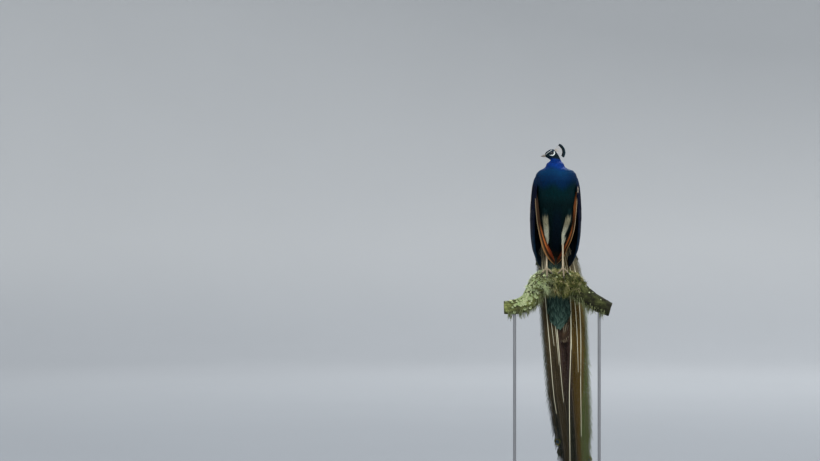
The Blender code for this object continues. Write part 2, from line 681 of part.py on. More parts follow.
def build_stand(perch):
    wide, deep, thick = BASE_SIZE
    mesh = bpy.data.meshes.new("stand_base")
    shape = bmesh.new()
    bmesh.ops.create_cube(shape, size=1.0)
    for vert in shape.verts:
        vert.co = Vector((vert.co.x * wide, vert.co.y * deep, (vert.co.z + 0.5) * thick))
    shape.to_mesh(mesh)
    shape.free()
    base = make_object("stand_base", mesh, "stand_black")
    base.location = (0, 0, 0)
    edge = base.modifiers.new("edge", "BEVEL")
    edge.width = BASE_BEVEL
    edge.segments = 2
    edge.limit_method = "ANGLE"
    for side, x in zip(("right", "left"), ROD_X):
        _, z, radius = rows_at(PERCH, [x])[0]
        low, high = thick - ROD_SEAT, PERCH_TOP + z - radius + ROD_SOCKET
        mesh = bpy.data.meshes.new(f"stand_rod_{side}")
        shape = bmesh.new()
        bmesh.ops.create_cone(
            shape,
            cap_ends=True,
            segments=16,
            radius1=ROD_RADIUS,
            radius2=ROD_RADIUS,
            depth=high - low,
        )
        shape.to_mesh(mesh)
        shape.free()
        smooth(mesh)
        rod = make_object(f"stand_rod_{side}", mesh, "stand_steel")
        rod.location = (x, FEET_Y, (low + high) / 2)
        hole = grown(rod)
        boolean(base, hole)
        boolean(perch, hole)


def main():
    clear_scene()
    body_cutter = build_body()
    head_cutter = build_head()
    build_bill()
    build_crest(head_cutter)
    build_legs(body_cutter)
    wing_cutters = build_wings(body_cutter)
    build_tail(body_cutter, wing_cutters)
    build_plumes()
    build_stand(build_perch())


main()
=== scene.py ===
"""The looks of a life-size peacock at rest on a cut length of mossy branch, held by a plain stand.

Metres, +Z up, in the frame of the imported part: the bird faces -Y with its head turned to its own right (-X),
and its train hangs behind the perch. One skin stands for the flesh, and solid vanes, barbs and tufts lie
over it. The sections of body, head, wings and train are those of the solids.
"""

import logging
import math
from dataclasses import dataclass, field
from enum import Enum
from functools import reduce
from typing import Callable

import bmesh
import bpy
import numpy as np
from mathutils import Matrix, Vector


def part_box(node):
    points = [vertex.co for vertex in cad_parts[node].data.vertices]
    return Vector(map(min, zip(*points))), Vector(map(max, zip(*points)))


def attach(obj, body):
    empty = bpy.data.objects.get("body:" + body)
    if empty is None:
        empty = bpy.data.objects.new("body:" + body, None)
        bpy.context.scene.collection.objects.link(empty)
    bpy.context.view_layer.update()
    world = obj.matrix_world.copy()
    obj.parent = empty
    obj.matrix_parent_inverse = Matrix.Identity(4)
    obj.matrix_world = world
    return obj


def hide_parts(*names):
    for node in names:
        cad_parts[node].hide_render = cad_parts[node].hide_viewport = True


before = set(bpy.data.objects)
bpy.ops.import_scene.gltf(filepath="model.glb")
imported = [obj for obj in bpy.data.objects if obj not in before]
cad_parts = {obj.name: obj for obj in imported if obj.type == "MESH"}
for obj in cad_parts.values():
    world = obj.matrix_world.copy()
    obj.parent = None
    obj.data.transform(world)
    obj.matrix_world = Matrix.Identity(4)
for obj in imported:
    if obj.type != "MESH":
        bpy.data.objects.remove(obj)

LOG = logging.getLogger("peacock")
BODY = "root"
Array = np.ndarray
Colour = tuple[float, float, float]
Tint = Callable[[Array, Array, Array], Array]    # colours from points, places across and places along
Keep = Callable[[Array], Array]                  # which points may hold a feather

FEET = np.array([0.0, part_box("stand_rod_left")[0].y + 0.008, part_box("tarsus_left")[0].z - 0.0165])
HEAD_Y = -0.030
EYE = (-0.0245, 0.0138, 0.6065)         # x, distance from the head's middle plane, z
EYE_RADIUS = 0.0046
TAU = math.tau
MAP_PATCH, MAP_MARGIN = 0.003, 0.004     # a tuft's patch on the bake map, and the room left round them
SMALL = 1e-3                             # a short way along a form, which tells how fast it runs
LONG_COLUMNS = 7                         # points across a long feather's upper face


# ---- sections of the bird and the perch ----
def metres(*rows: tuple[float, ...]) -> tuple:
    """Rows given in millimetres as rows in metres."""
    return tuple(tuple(round(value / 1000, 5) for value in row) for row in rows)


# Stations from the neck's top to the vent: height, middle, half width, front, back.
TORSO = metres(
    (584, -6, 19, -47, -13),
    (569.5, -3.5, 28, -52.5, -7.5),
    (553, -6, 44.5, -77, 15),
    (533, -6, 54, -92, 32),
    (516.5, -1, 88.5, -103, 46),
    (495, -1, 106, -115, 63),
    (460, 0, 112.5, -130, 86),
    (400, 0, 106, -132, 112),
    (320, 0, 104, -115, 131),
    (250, 0, 98, -85, 139),
    (190, 0, 84, -43, 142),
    (130, 0, 62, 15, 141),
    (85, 0, 41, 58, 133),
    (50, 0, 16, 86, 120),
)
# The head in its own middle plane, from the nape to the bill: dorsal x and z, ventral x and z, half width.
HEAD = metres(
    (24.5, 569.8, -31.5, 569.8, 22.5),
    (16.5, 587, -32.5, 571.8, 21.2),
    (9.4, 600, -36, 574.2, 20),
    (2.5, 609.8, -39.5, 576.6, 19.2),
    (-5.5, 618.8, -42.5, 578.6, 18.4),
    (-17, 627.6, -45.5, 580.3, 17.6),
    (-30, 626.2, -48.5, 581.9, 16.2),
    (-42, 621, -51.5, 583.4, 14),
    (-52.5, 613.5, -54, 584.8, 11.2),
    (-60, 603, -56.5, 586.2, 7.8),
)
# A folded wing on the bird's left: height, middle x and y, half width, half depth, thickness.
WING = metres(
    (494, 62, -4, 40, 40, 8),
    (478, 60, -2, 53, 62, 13),
    (452, 55, 0, 66.5, 88, 20),
    (416, 52, 2, 75.5, 104, 24),
    (364, 50, 8, 82, 110, 26),
    (270, 50, 22, 86.5, 113, 26),
    (190, 56, 36, 78, 106, 24),
    (130, 66, 48, 61, 88, 21),
    (95, 73, 56, 46, 70, 18),
    (60, 72, 64, 34, 52, 15),
    (30, 69, 72, 22, 34, 11),
    (8, 66, 80, 10, 16, 6),
)
WING_ARC = (math.radians(-42), math.radians(90))
# Folded primaries, as seen from in front: height, middle x and y, half width.
PRIMARIES = {
    "left": metres(
        (400, 102, -64, 6),
        (347, 97.5, -76, 9.5),
        (276, 92.5, -70, 8.6),
        (240, 89, -60, 9.4),
        (205, 83, -48, 10.6),
        (170, 73.8, -28, 11.8),
        (139, 63, -6, 13),
        (111, 52.5, 20, 11),
        (87, 45.5, 41, 10.5),
        (48, 18.5, 60, 12),
        (28, 1, 66, 8),
    ),
    "right": metres(
        (400, -106, -64, 6),
        (347, -104.5, -78, 9.5),
        (276, -98, -71, 9.8),
        (245, -93, -63, 11.4),
        (217, -86.2, -55, 13),
        (158, -70.2, -37, 15.3),
        (116, -56, -28, 17.7),
        (80, -40.6, -16, 16.6),
        (50, -18, -2, 17.6),
        (28, 0, 5, 11),
    ),
}
# A thigh: height, middle x (bird's left, bird's right), y, half width, half depth.
THIGH = metres(
    (345, 57, -57, -50, 12, 20),
    (310, 60, -58.5, -64, 18, 30),
    (270, 59, -57, -62, 20, 35),
    (220, 50, -51.5, -45, 19, 30),
    (180, 40.5, -48, -19, 15.5, 21),
    (152, 38.5, -47, 8, 11, 13),
    (138, 36.8, -46.4, 19, 8, 8.5),
)
ANKLE = {"left": (0.0368, 0.0190), "right": (-0.0464, 0.0190)}
ANKLE_Z = 0.1380
FOOT_X = {"left": 0.0354, "right": -0.0490}
FOOT_TOP_Z = 0.0165
SIDES = {"left": 1, "right": -1}
TARSUS_RADIUS, TOE_RADIUS = 0.0046, 0.0058
TOES = {"inner": (-0.42, 0.052), "middle": (0.02, 0.074), "outer": (0.44, 0.056), "hind": (math.pi, 0.028)}
PERCH_RADIUS, PERCH_AXIS_Z = 0.0580, -0.0585
# The perch: x, height of its middle, radius.
PERCH = metres(
    (-270, -196, 35),
    (-205, -192, 38),
    (-145, -168, 43),
    (-108, -118, 50),
    (-82, -70, 56),
    (-62, -58.5, 58),
    (52, -58.5, 58),
    (85, -74, 55),
    (125, -110, 49),
    (170, -146, 45),
    (225, -179, 42),
    (280, -206, 37),
)
# Tail and train: height, middle x, half width, front, back.
UNDERTAIL = metres(
    (70, -2, 34, 70, 118),
    (30, -2, 38, 74, 118),
    (-50, 4, 46, 77, 118),
    (-130, 15, 55, 80, 118),
    (-210, 23, 56, 84, 118),
    (-265, 27, 42, 90, 117),
    (-300, 29, 14, 98, 114),
)
TRAIN = metres(
    (280, 0, 40, 110, 138.5),
    (230, 0, 65, 115, 152),
    (150, 1, 88, 125, 176),
    (80, 10, 104, 137, 198),
    (0, 25, 114, 139.5, 220),
    (-100, 38, 120, 139.5, 234),
    (-260, 53, 124, 139.5, 241),
    (-468, 67, 120, 145, 243),
    (-676, 81, 115, 160, 243),
    (-740, 87, 111, 164, 243),
    (-900, 101.4, 98.2, 164, 245),
    (-1050, 112.5, 88.4, 166, 246),
    (-1215, 120, 81.8, 168, 247),
)
LONGEST_Z = TRAIN[-1][0]
TRAIN_POWER = 2.5                        # how square the train's section is
LEAST_ROOM = 0.209                       # its least depth at the sides, as a share of the middle's
AHEAD_Y = 0.1175                         # how far behind the feet the foremost shafts hang


# ---- colours ----
def rgb(red: int, green: int, blue: int) -> Colour:
    """A display colour out of 255 as a linear one."""
    values = [c / 255 for c in (red, green, blue)]
    return tuple(c / 12.92 if c <= 0.04045 else ((c + 0.055) / 1.055) ** 2.4 for c in values)


def step(value: Array, low: float, high: float) -> Array:
    """A smooth 0 to 1 as the value goes from low to high."""
    t = np.clip((value - low) / (high - low), 0.0, 1.0)
    return t * t * (3 - 2 * t)


def blend(first: Array | Colour, second: Array | Colour, share: Array) -> Array:
    """Colours from the first, where the share is 0, to the second, where it is 1."""
    share = np.asarray(share)[..., None]
    return np.asarray(first) * (1 - share) + np.asarray(second) * share


def layered(base: Array | Colour, *coats: tuple[Array | Colour, Array]) -> Array:
    """A base under coats of colour, each laid over what is there by its share."""
    return reduce(lambda under, coat: blend(under, *coat), coats, base)


# ---- shader maths ----
class Sock:
    """A node's socket that takes part in expressions on values."""

    def __init__(self, paint: "Paint", socket: bpy.types.NodeSocket) -> None:
        """Keeps the material that the socket is in."""
        self.paint = paint
        self.socket = socket

    def __add__(self, other: "Sock | float") -> "Sock":
        """self + other"""
        return self.paint.math("ADD", self, other)

    __radd__ = __add__

    def __sub__(self, other: "Sock | float") -> "Sock":
        """self - other"""
        return self.paint.math("SUBTRACT", self, other)

    def __rsub__(self, other: float) -> "Sock":
        """other - self"""
        return self.paint.math("SUBTRACT", other, self)

    def __mul__(self, other: "Sock | float") -> "Sock":
        """self * other"""
        return self.paint.math("MULTIPLY", self, other)

    __rmul__ = __mul__


class Paint:
    """One material and the expressions that drive its Principled shader."""

    def __init__(self, name: str) -> None:
        """Makes the material.

        Args:
            name: the material's name.
        """
        self.material = bpy.data.materials.new(name)
        self.material.use_nodes = True
        self.tree = self.material.node_tree
        self.shader = next(n for n in self.tree.nodes if n.type == "BSDF_PRINCIPLED")

    def feed(self, socket: bpy.types.NodeSocket, value: object) -> None:
        """Links a socket or sets its value.

        Args:
            socket: an input.
            value: a socket, a number, a colour or a vector.
        """
        if isinstance(value, Sock):
            self.tree.links.new(value.socket, socket)
        elif socket.type == "RGBA" and len(value) == 3:
            socket.default_value = (*value, 1.0)
        else:
            socket.default_value = value

    def node(self, kind: str, settings: dict, inputs: dict, out: int | str = 0) -> Sock:
        """Adds a node.

        Args:
            kind: the node's type.
            settings: its properties, set first; "stops" are a ramp's places and colours.
            inputs: values or links of its sockets, by name or number.
            out: which output to give back.

        Returns:
            The output socket.
        """
        made = self.tree.nodes.new(kind)
        for key, value in settings.items():
            if key == "stops":
                self.set_stops(made.color_ramp, value)
            else:
                setattr(made, key, value)
        for key, value in inputs.items():
            self.feed(made.inputs[key], value)
        return Sock(self, made.outputs[out])

    @staticmethod
    def set_stops(ramp: bpy.types.ColorRamp, stops: tuple) -> None:
        """Gives a ramp its places and colours.

        Args:
            ramp: the ramp.
            stops: places and colours, in order.
        """
        while len(ramp.elements) < len(stops):
            ramp.elements.new(0.5)
        for element, (place, colour) in zip(ramp.elements, stops):
            element.position = place
            element.color = (*colour, 1.0)

    def math(self, operation: str, first: object, second: object = 0.0) -> Sock:
        """A Math node on two values."""
        return self.node("ShaderNodeMath", {"operation": operation}, {0: first, 1: second})

    def scale(self, colour: Sock, by: object) -> Sock:
        """A colour or vector times a value."""
        return self.node("ShaderNodeVectorMath", {"operation": "SCALE"}, {0: colour, "Scale": by})

    def lines(self, phase: Sock) -> Sock:
        """Even lines from 0 to 1 by a sine."""
        return self.math("SINE", phase) * 0.5 + 0.5

    def mix(self, share: object, first: object, second: object) -> Sock:
        """Two colours mixed by a share."""
        return self.node("ShaderNodeMix", {"data_type": "RGBA"}, {0: share, 6: first, 7: second}, 2)

    def ramp(self, value: Sock, stops: tuple) -> Sock:
        """A colour ramp of places and colours."""
        return self.node("ShaderNodeValToRGB", {"stops": stops}, {0: value})

    def between(self, value: Sock, low: float, high: float) -> Sock:
        """0 below low and 1 above high, smooth between."""
        settings = {"interpolation_type": "SMOOTHSTEP"}
        return self.node("ShaderNodeMapRange", settings, {0: value, 1: low, 2: high})

    def place(self) -> Sock:
        """The point in the object's own frame, in metres."""
        return self.node("ShaderNodeTexCoord", {}, {}, "Object")

    def noise(self, scale: float, detail: float = 3.0, stretch: Colour = (1, 1, 1)) -> Sock:
        """Noise from 0 to 1 over the object, stretched by a factor on each axis."""
        where = self.node("ShaderNodeVectorMath", {"operation": "MULTIPLY"}, {0: self.place(), 1: stretch})
        return self.node("ShaderNodeTexNoise", {}, {"Vector": where, "Scale": scale, "Detail": detail})

    def tint(self) -> Sock:
        """The colour kept at each point of the mesh."""
        return self.node("ShaderNodeAttribute", {"attribute_name": "tint"}, {}, "Color")

    def tone(self) -> Sock:
        """The tint as one value."""
        return self.axes(self.tint())[0]

    def vane(self) -> tuple[Sock, Sock, Sock]:
        """The place across and along the vane, and the vane's chance value."""
        return self.axes(self.node("ShaderNodeAttribute", {"attribute_name": "vane"}, {}, "Vector"))

    def axes(self, vector: Sock) -> tuple[Sock, Sock, Sock]:
        """The three values of a vector."""
        made = self.node("ShaderNodeSeparateXYZ", {}, {0: vector}).socket.node
        return tuple(Sock(self, output) for output in made.outputs)

    def bump(self, height: Sock, strength: float, distance: float) -> Sock:
        """A normal from a height."""
        return self.node("ShaderNodeBump", {}, {"Height": height, "Strength": strength, "Distance": distance})


# ---- finishes ----
MADE: dict[str, bpy.types.Material] = {}


@dataclass(frozen=True)
class Finish:
    """What a piece is dressed in. Each kind says how it sets the shader's sockets."""

    name: str

    def sockets(self, paint: Paint) -> dict[str, object]:
        """Values or links of the shader's sockets, named with _ for a space."""
        raise NotImplementedError

    def material(self) -> bpy.types.Material:
        """The finish as a material, made once.

        Returns:
            The material.
        """
        if self.name not in MADE:
            paint = Paint(self.name)
            for key, value in self.sockets(paint).items():
                paint.feed(paint.shader.inputs[key.replace("_", " ")], value)
            MADE[self.name] = paint.material
        return MADE[self.name]


@dataclass(frozen=True)
class VaneFinish(Finish):
    """Feathers tinted vane by vane, with fine barbs at a slant to the shaft."""

    rough: float = 0.50
    metal: float = 0.0
    barbs: float = 30.0                  # lines from root to tip
    relief: float = 0.35                 # how strongly they stand out
    sheen: float = 0.0
    specular: float = 0.15
    shaft: Colour | None = None          # the shaft's colour, where it shows
    shaft_width: float = 0.07            # as a share of half the vane's

    def sockets(self, paint: Paint) -> dict[str, object]:
        """Each vane's tint with its barbs' lines and its shaft.

        Args:
            paint: the material.

        Returns:
            Values or links of the shader's sockets, by name.
        """
        across, along, chance = paint.vane()
        side = paint.math("ABSOLUTE", across)
        line = paint.lines((along + side * 0.35 + chance * 3.0) * (self.barbs * TAU))
        mottle = paint.noise(420.0)
        shade = 1.12 - line * 0.22 + (mottle - 0.5) * 0.5 + (chance - 0.5) * 0.22
        colour = paint.scale(paint.tint(), shade)
        if self.shaft:
            stem = 1 - paint.between(side, self.shaft_width * 0.5, self.shaft_width)
            colour = paint.mix(stem, colour, self.shaft)
        return dict(
            Base_Color=colour,
            Roughness=line * 0.14 + (mottle - 0.5) * 0.2 + self.rough,
            Normal=paint.bump(line, self.relief, 0.0004),
            Metallic=self.metal,
            Sheen_Weight=self.sheen,
            Sheen_Roughness=0.4,
            Specular_IOR_Level=self.specular,
        )


@dataclass(frozen=True)
class SkinFinish(Finish):
    """Bare skin, lids and scaly legs, tinted over the mesh, with fine pimples and creases."""

    name: str = "bare skin"

    def sockets(self, paint: Paint) -> dict[str, object]:
        """The tint, mottled and finely creased.

        Args:
            paint: the material.

        Returns:
            Values or links of the shader's sockets, by name.
        """
        cells = paint.node("ShaderNodeTexVoronoi", {}, {"Vector": paint.place(), "Scale": 900.0}, "Distance")
        mottle = paint.noise(140.0, 5.0)
        return dict(
            Base_Color=paint.scale(paint.tint(), 0.82 + mottle * 0.40 - cells * 0.12),
            Roughness=0.62 - mottle * 0.15,
            Normal=paint.bump(cells * 0.6 + mottle, 0.35, 0.0006),
            Specular_IOR_Level=0.4,
        )


@dataclass(frozen=True)
class HornFinish(Finish):
    """Bill, claws and spurs: satin horn with lengthwise growth lines and a paler edge."""

    base: Colour
    dark: Colour
    stretch: Colour = (1, 4, 4)
    rough: float = 0.36

    def sockets(self, paint: Paint) -> dict[str, object]:
        """Two browns in streaks, darker where the tint says.

        Args:
            paint: the material.

        Returns:
            Values or links of the shader's sockets, by name.
        """
        lines = paint.noise(170.0, 4.0, self.stretch)
        streak = paint.between(lines + paint.vane()[1] * 0.25, 0.42, 0.80)
        return dict(
            Base_Color=paint.scale(paint.mix(streak, self.base, self.dark), paint.tone()),
            Roughness=self.rough + lines * 0.2,
            Normal=paint.bump(lines, 0.25, 0.0005),
            Coat_Weight=0.15,
        )


@dataclass(frozen=True)
class EyeFinish(Finish):
    """A wet dark eye: black pupil, deep brown iris and a dark rim, by the distance from its axis."""

    name: str = "eye"

    def sockets(self, paint: Paint) -> dict[str, object]:
        """Rings of colour with fine rays, under a wet coat.

        Args:
            paint: the material.

        Returns:
            Values or links of the shader's sockets, by name.
        """
        across, along, _ = paint.vane()
        rays = paint.math("SINE", across * 46.0) * 0.03
        stops = (
            (0.00, (0.002, 0.002, 0.002)),
            (0.24, (0.002, 0.002, 0.002)),
            (0.27, (0.065, 0.030, 0.012)),
            (0.46, (0.030, 0.013, 0.006)),
            (0.52, (0.006, 0.004, 0.003)),
            (1.00, (0.010, 0.008, 0.007)),
        )
        return dict(
            Base_Color=paint.ramp(along + rays * along, stops),
            Roughness=0.10 + paint.noise(900.0) * 0.05,
            Coat_Weight=1.0,
            Coat_Roughness=0.03,
        )


@dataclass(frozen=True)
class OcellusFinish(Finish):
    """The eye marking of a train feather: notched indigo, turquoise, copper and green rings."""

    name: str = "train eyes"

    def sockets(self, paint: Paint) -> dict[str, object]:
        """The rings, notched above, crossed by fine barbs.

        Args:
            paint: the material.

        Returns:
            Values or links of the shader's sockets, by name.
        """
        across, along, chance = paint.vane()
        side = paint.math("ABSOLUTE", across)
        radius = paint.math("SQRT", across * across + along * along)
        notch = (1 - paint.between(side, 0.0, 0.16)) * paint.between(along, 0.02, 0.22)
        wave = (paint.noise(260.0) - 0.5) * 0.03
        stops = (
            (0.00, rgb(12, 14, 58)),
            (0.27, rgb(16, 22, 88)),
            (0.30, rgb(0, 112, 140)),
            (0.44, rgb(10, 138, 132)),
            (0.48, rgb(128, 78, 34)),
            (0.70, rgb(112, 70, 30)),
            (0.74, rgb(116, 128, 44)),
            (0.84, rgb(44, 84, 40)),
            (0.90, rgb(104, 92, 40)),
            (1.00, rgb(58, 92, 44)),
        )
        line = paint.lines((side + along * 0.8) * 130.0)
        colour = paint.ramp(radius + notch * 0.13 + wave, stops)
        return dict(
            Base_Color=paint.scale(colour, 1.1 - line * 0.25 + (chance - 0.5) * 0.2),
            Roughness=0.34 + line * 0.15,
            Metallic=0.35,
            Normal=paint.bump(line, 0.3, 0.0004),
        )


@dataclass(frozen=True)
class BarkFinish(Finish):
    """Bark with a film of moss, darker in its furrows."""

    name: str = "mossy bark"

    def sockets(self, paint: Paint) -> dict[str, object]:
        """Browns and greens by coarse and fine noise.

        Args:
            paint: the material.

        Returns:
            Values or links of the shader's sockets, by name.
        """
        coarse = paint.noise(38.0, 6.0, (0.45, 1, 1))
        fine = paint.noise(260.0, 6.0)
        stops = (
            (0.30, rgb(24, 22, 16)),
            (0.46, rgb(52, 52, 32)),
            (0.58, rgb(78, 84, 44)),
            (0.72, rgb(120, 124, 74)),
        )
        return dict(
            Base_Color=paint.scale(paint.ramp(coarse * 0.7 + fine * 0.3, stops), paint.tone()),
            Roughness=0.96 - fine * 0.15,
            Normal=paint.bump(coarse + fine * 0.5, 0.8, 0.004),
            Specular_IOR_Level=0.2,
        )


@dataclass(frozen=True)
class BoardFinish(Finish):
    """Satin dark paint on a board, with a faint brushed grain and dust."""

    name: str = "painted board"

    def sockets(self, paint: Paint) -> dict[str, object]:
        """Near black, greyer where dust lies.

        Args:
            paint: the material.

        Returns:
            Values or links of the shader's sockets, by name.
        """
        grain = paint.noise(90.0, 5.0, (0.05, 1, 1))
        dust = paint.noise(14.0, 6.0)
        colour = paint.mix(paint.between(dust, 0.5, 0.8) * 0.35, rgb(34, 34, 36), rgb(62, 62, 62))
        return dict(
            Base_Color=paint.scale(colour, 0.85 + grain * 0.3),
            Roughness=0.38 + dust * 0.25,
            Normal=paint.bump(grain, 0.15, 0.0006),
        )


@dataclass(frozen=True)
class SteelFinish(Finish):
    """Satin steel rod with fine lines round it."""

    name: str = "satin steel"

    def sockets(self, paint: Paint) -> dict[str, object]:
        """Grey metal, ringed by the turning.

        Args:
            paint: the material.

        Returns:
            Values or links of the shader's sockets, by name.
        """
        rings = paint.noise(60.0, 3.0, (1, 1, 60))
        return dict(
            Base_Color=paint.mix(rings, rgb(150, 150, 152), rgb(182, 182, 184)),
            Roughness=0.28 + rings * 0.16,
            Metallic=1.0,
            Normal=paint.bump(rings, 0.08, 0.0003),
        )


@dataclass(frozen=True)
class StageFinish(Finish):
    """The plain pale floor and sweep."""

    name: str = "stage"
    near: Colour = rgb(142, 146, 150)
    far: Colour = rgb(163, 166, 169)
    wall: Colour = rgb(178, 180, 181)

    def sockets(self, paint: Paint) -> dict[str, object]:
        """A grey that pales with the distance and up the sweep.

        Args:
            paint: the material.

        Returns:
            Values or links of the shader's sockets, by name.
        """
        x, y, z = paint.axes(paint.place())
        away = paint.between(paint.math("SQRT", x * x + y * y), 3.0, 14.0)
        colour = paint.mix(paint.between(z, 0.0, 1.5), paint.mix(away, self.near, self.far), self.wall)
        return dict(
            Base_Color=paint.scale(colour, 0.98 + paint.noise(0.6, 2.0) * 0.04),
            Roughness=0.9,
            Specular_IOR_Level=0.1,
        )


# ---- curves and forms ----
def unit(vectors: Array) -> Array:
    """Vectors of length 1."""
    return vectors / np.maximum(np.linalg.norm(vectors, axis=-1, keepdims=True), 1e-12)


def square_to(vectors: Array, way: Array) -> Array:
    """Vectors less what of them runs along a way of length 1."""
    return vectors - way * np.sum(vectors * way, axis=-1, keepdims=True)


def stack(*values: Array | float) -> Array:
    """Values side by side on a last axis, spread to one shape."""
    return np.stack(np.broadcast_arrays(*values), axis=-1)


def circle(count: int) -> Array:
    """Even turns round a ring."""
    return np.arange(count) * TAU / count


def round_power(value: Array, power: float) -> Array:
    """The sine or cosine of a turn, squared off for a superellipse."""
    return np.sign(value) * np.abs(value) ** (2 / power)


def table_at(table: tuple, where: Array | float) -> Array:
    """Rows of a station table at values of its first column, by monotone cubic curves.

    Args:
        table: stations, each led by its place.
        where: places of any shape.

    Returns:
        The other columns, one for each along the first axis.
    """
    keys = np.array(sorted(table), dtype=float)
    xs, ys = keys[:, 0], keys[:, 1:]
    secant = np.diff(ys, axis=0) / np.diff(xs)[:, None]
    slope = np.zeros_like(ys)
    slope[0], slope[-1] = secant[0], secant[-1]
    a, b = secant[:-1], secant[1:]
    same = a * b > 0
    slope[1:-1][same] = (2 * a * b / np.where(same, a + b, 1.0))[same]
    where = np.clip(where, xs[0], xs[-1])
    i = np.clip(np.searchsorted(xs, where) - 1, 0, len(xs) - 2)
    h = (xs[i + 1] - xs[i])[..., None]
    t = (where - xs[i])[..., None] / h
    start = (1 + 2 * t) * (1 - t) ** 2 * ys[i] + t * (1 - t) ** 2 * h * slope[i]
    end = t * t * (3 - 2 * t) * ys[i + 1] + t * t * (t - 1) * h * slope[i + 1]
    return np.moveaxis(start + end, -1, 0)


class Form:
    """A surface of the bird, met by two values: u round or across it, and v along it."""

    span: tuple[float, float] = (0.0, TAU)

    def at(self, u: Array, v: Array) -> Array:
        """Points of the surface."""
        raise NotImplementedError

    def core(self, v: Array) -> Array:
        """Points well inside the surface, which tell in from out."""
        raise NotImplementedError

    def lie(self, u: Array, v: Array, drift: Array | float = 0.0) -> tuple[Array, Array, Array]:
        """How a feather lies. Feathers point towards lower v on every form.

        Args:
            u: places across the surface.
            v: places along it.
            drift: how far it leans towards greater u, as a slope.

        Returns:
            Its root, the way to its tip and the way out of the skin.
        """
        small = 2e-4
        point = self.at(u, v)
        across = unit(self.at(u + small, v) - point)
        along = unit(self.at(u, v - small) - point)
        out = unit(np.cross(across, along))
        out *= np.sign(np.sum(out * (point - self.core(v)), axis=-1, keepdims=True))
        way = along + across * np.asarray(drift)[..., None]
        return point, unit(square_to(way, out)), out


@dataclass(frozen=True)
class Ovals(Form):
    """A form of level ovals, v being the height."""

    table: tuple

    def at(self, u: Array, v: Array) -> Array:
        """Points of the surface."""
        x, half, front, back = table_at(self.table, v)
        return FEET + stack(x + half * np.cos(u), (front + back) / 2 + (back - front) / 2 * np.sin(u), v)

    def core(self, v: Array) -> Array:
        """The ovals' middles."""
        x, _, front, back = table_at(self.table, v)
        return FEET + stack(x, (front + back) / 2, v)


@dataclass(frozen=True)
class TrainForm(Ovals):
    """The train's back face: u is the share across, from -1 on the bird's right to 1, and v the height."""

    table: tuple = TRAIN
    span: tuple[float, float] = (-1.0, 1.0)

    def at(self, u: Array, v: Array) -> Array:
        """Points of the surface."""
        x, half, front, back = table_at(self.table, v)
        return FEET + stack(x + half * u, (front + back) / 2 + (back - front) / 2 * train_room(u), v)


def train_room(u: Array) -> Array:
    """The train's depth at places across it, as a share of the depth at its middle."""
    return np.maximum(1 - np.abs(u) ** TRAIN_POWER, 0.0) ** (1 / TRAIN_POWER)


@dataclass(frozen=True)
class Thigh(Form):
    """A feathered thigh of level ovals."""

    side: str

    def at(self, u: Array, v: Array) -> Array:
        """Points of the surface."""
        _, _, _, wide, deep = table_at(THIGH, v)
        return self.core(v) + stack(wide * np.cos(u), deep * np.sin(u), 0.0)

    def core(self, v: Array) -> Array:
        """The ovals' middles."""
        left, right, y, _, _ = table_at(THIGH, v)
        return FEET + stack(left if self.side == "left" else right, y, v)


@dataclass(frozen=True)
class HeadForm(Form):
    """The head's ovals from the nape, v = 0, to the bill, v = 1, with hollows for the eyes."""

    stations: tuple = tuple((i / (len(HEAD) - 1), *row) for i, row in enumerate(HEAD))

    def at(self, u: Array, v: Array) -> Array:
        """Points of the surface.

        Args:
            u: turns round the form.
            v: places along it.

        Returns:
            The points.
        """
        dx, dz, vx, vz, side = table_at(self.stations, v)
        power = 2.0 + 0.25 * np.sin(math.pi * np.clip(v, 0, 1))
        c, s = round_power(np.cos(u), power), round_power(np.sin(u), power)
        x = (dx + vx) / 2 + (dx - vx) / 2 * s
        z = (dz + vz) / 2 + (dz - vz) / 2 * s

        def mound(at: tuple[float, float], wide: float, high: float) -> Array:
            """A soft mound of the side, by the distance from its top."""
            return np.exp(-(((x - at[0]) / wide) ** 2) - ((z - at[1]) / high) ** 2)

        hollow = 0.0022 * mound((EYE[0], EYE[2]), 0.0062, 0.0062 / 1.15)
        brow = 0.0010 * mound((EYE[0], EYE[2] + 0.0085), 0.010, 0.0032)
        cheek = 0.0009 * mound((-0.020, 0.5915), 0.010, 0.006)
        lore = 0.0010 * mound((-0.046, 0.5985), 0.008, 0.0035)
        y = side * c + np.sign(c) * (brow + cheek - hollow - lore) * np.minimum(np.abs(c) * 1.6, 1.0)
        return FEET + stack(x, HEAD_Y + y, z)

    def core(self, v: Array) -> Array:
        """The ovals' middles."""
        dx, dz, vx, vz, _ = table_at(self.stations, v)
        return FEET + stack((dx + vx) / 2, HEAD_Y, (dz + vz) / 2)


@dataclass(frozen=True)
class WingForm(Form):
    """A folded wing's outer face: u is the share from its front edge to its back, v the height."""

    side: str
    span: tuple[float, float] = (0.0, 1.0)

    def at(self, u: Array, v: Array) -> Array:
        """Points of the surface.

        Args:
            u: shares from the front edge to the back.
            v: heights.

        Returns:
            The points.
        """
        x, y, wide, deep, _ = table_at(WING, v)
        turn = WING_ARC[0] + (WING_ARC[1] - WING_ARC[0]) * u
        return FEET + stack(SIDES[self.side] * (x + wide * np.cos(turn)), y + deep * np.sin(turn), v)

    def core(self, v: Array) -> Array:
        """Points inside the wing's curve."""
        x, y, wide, _, _ = table_at(WING, v)
        return FEET + stack(SIDES[self.side] * (x - wide * 0.3), y, v)


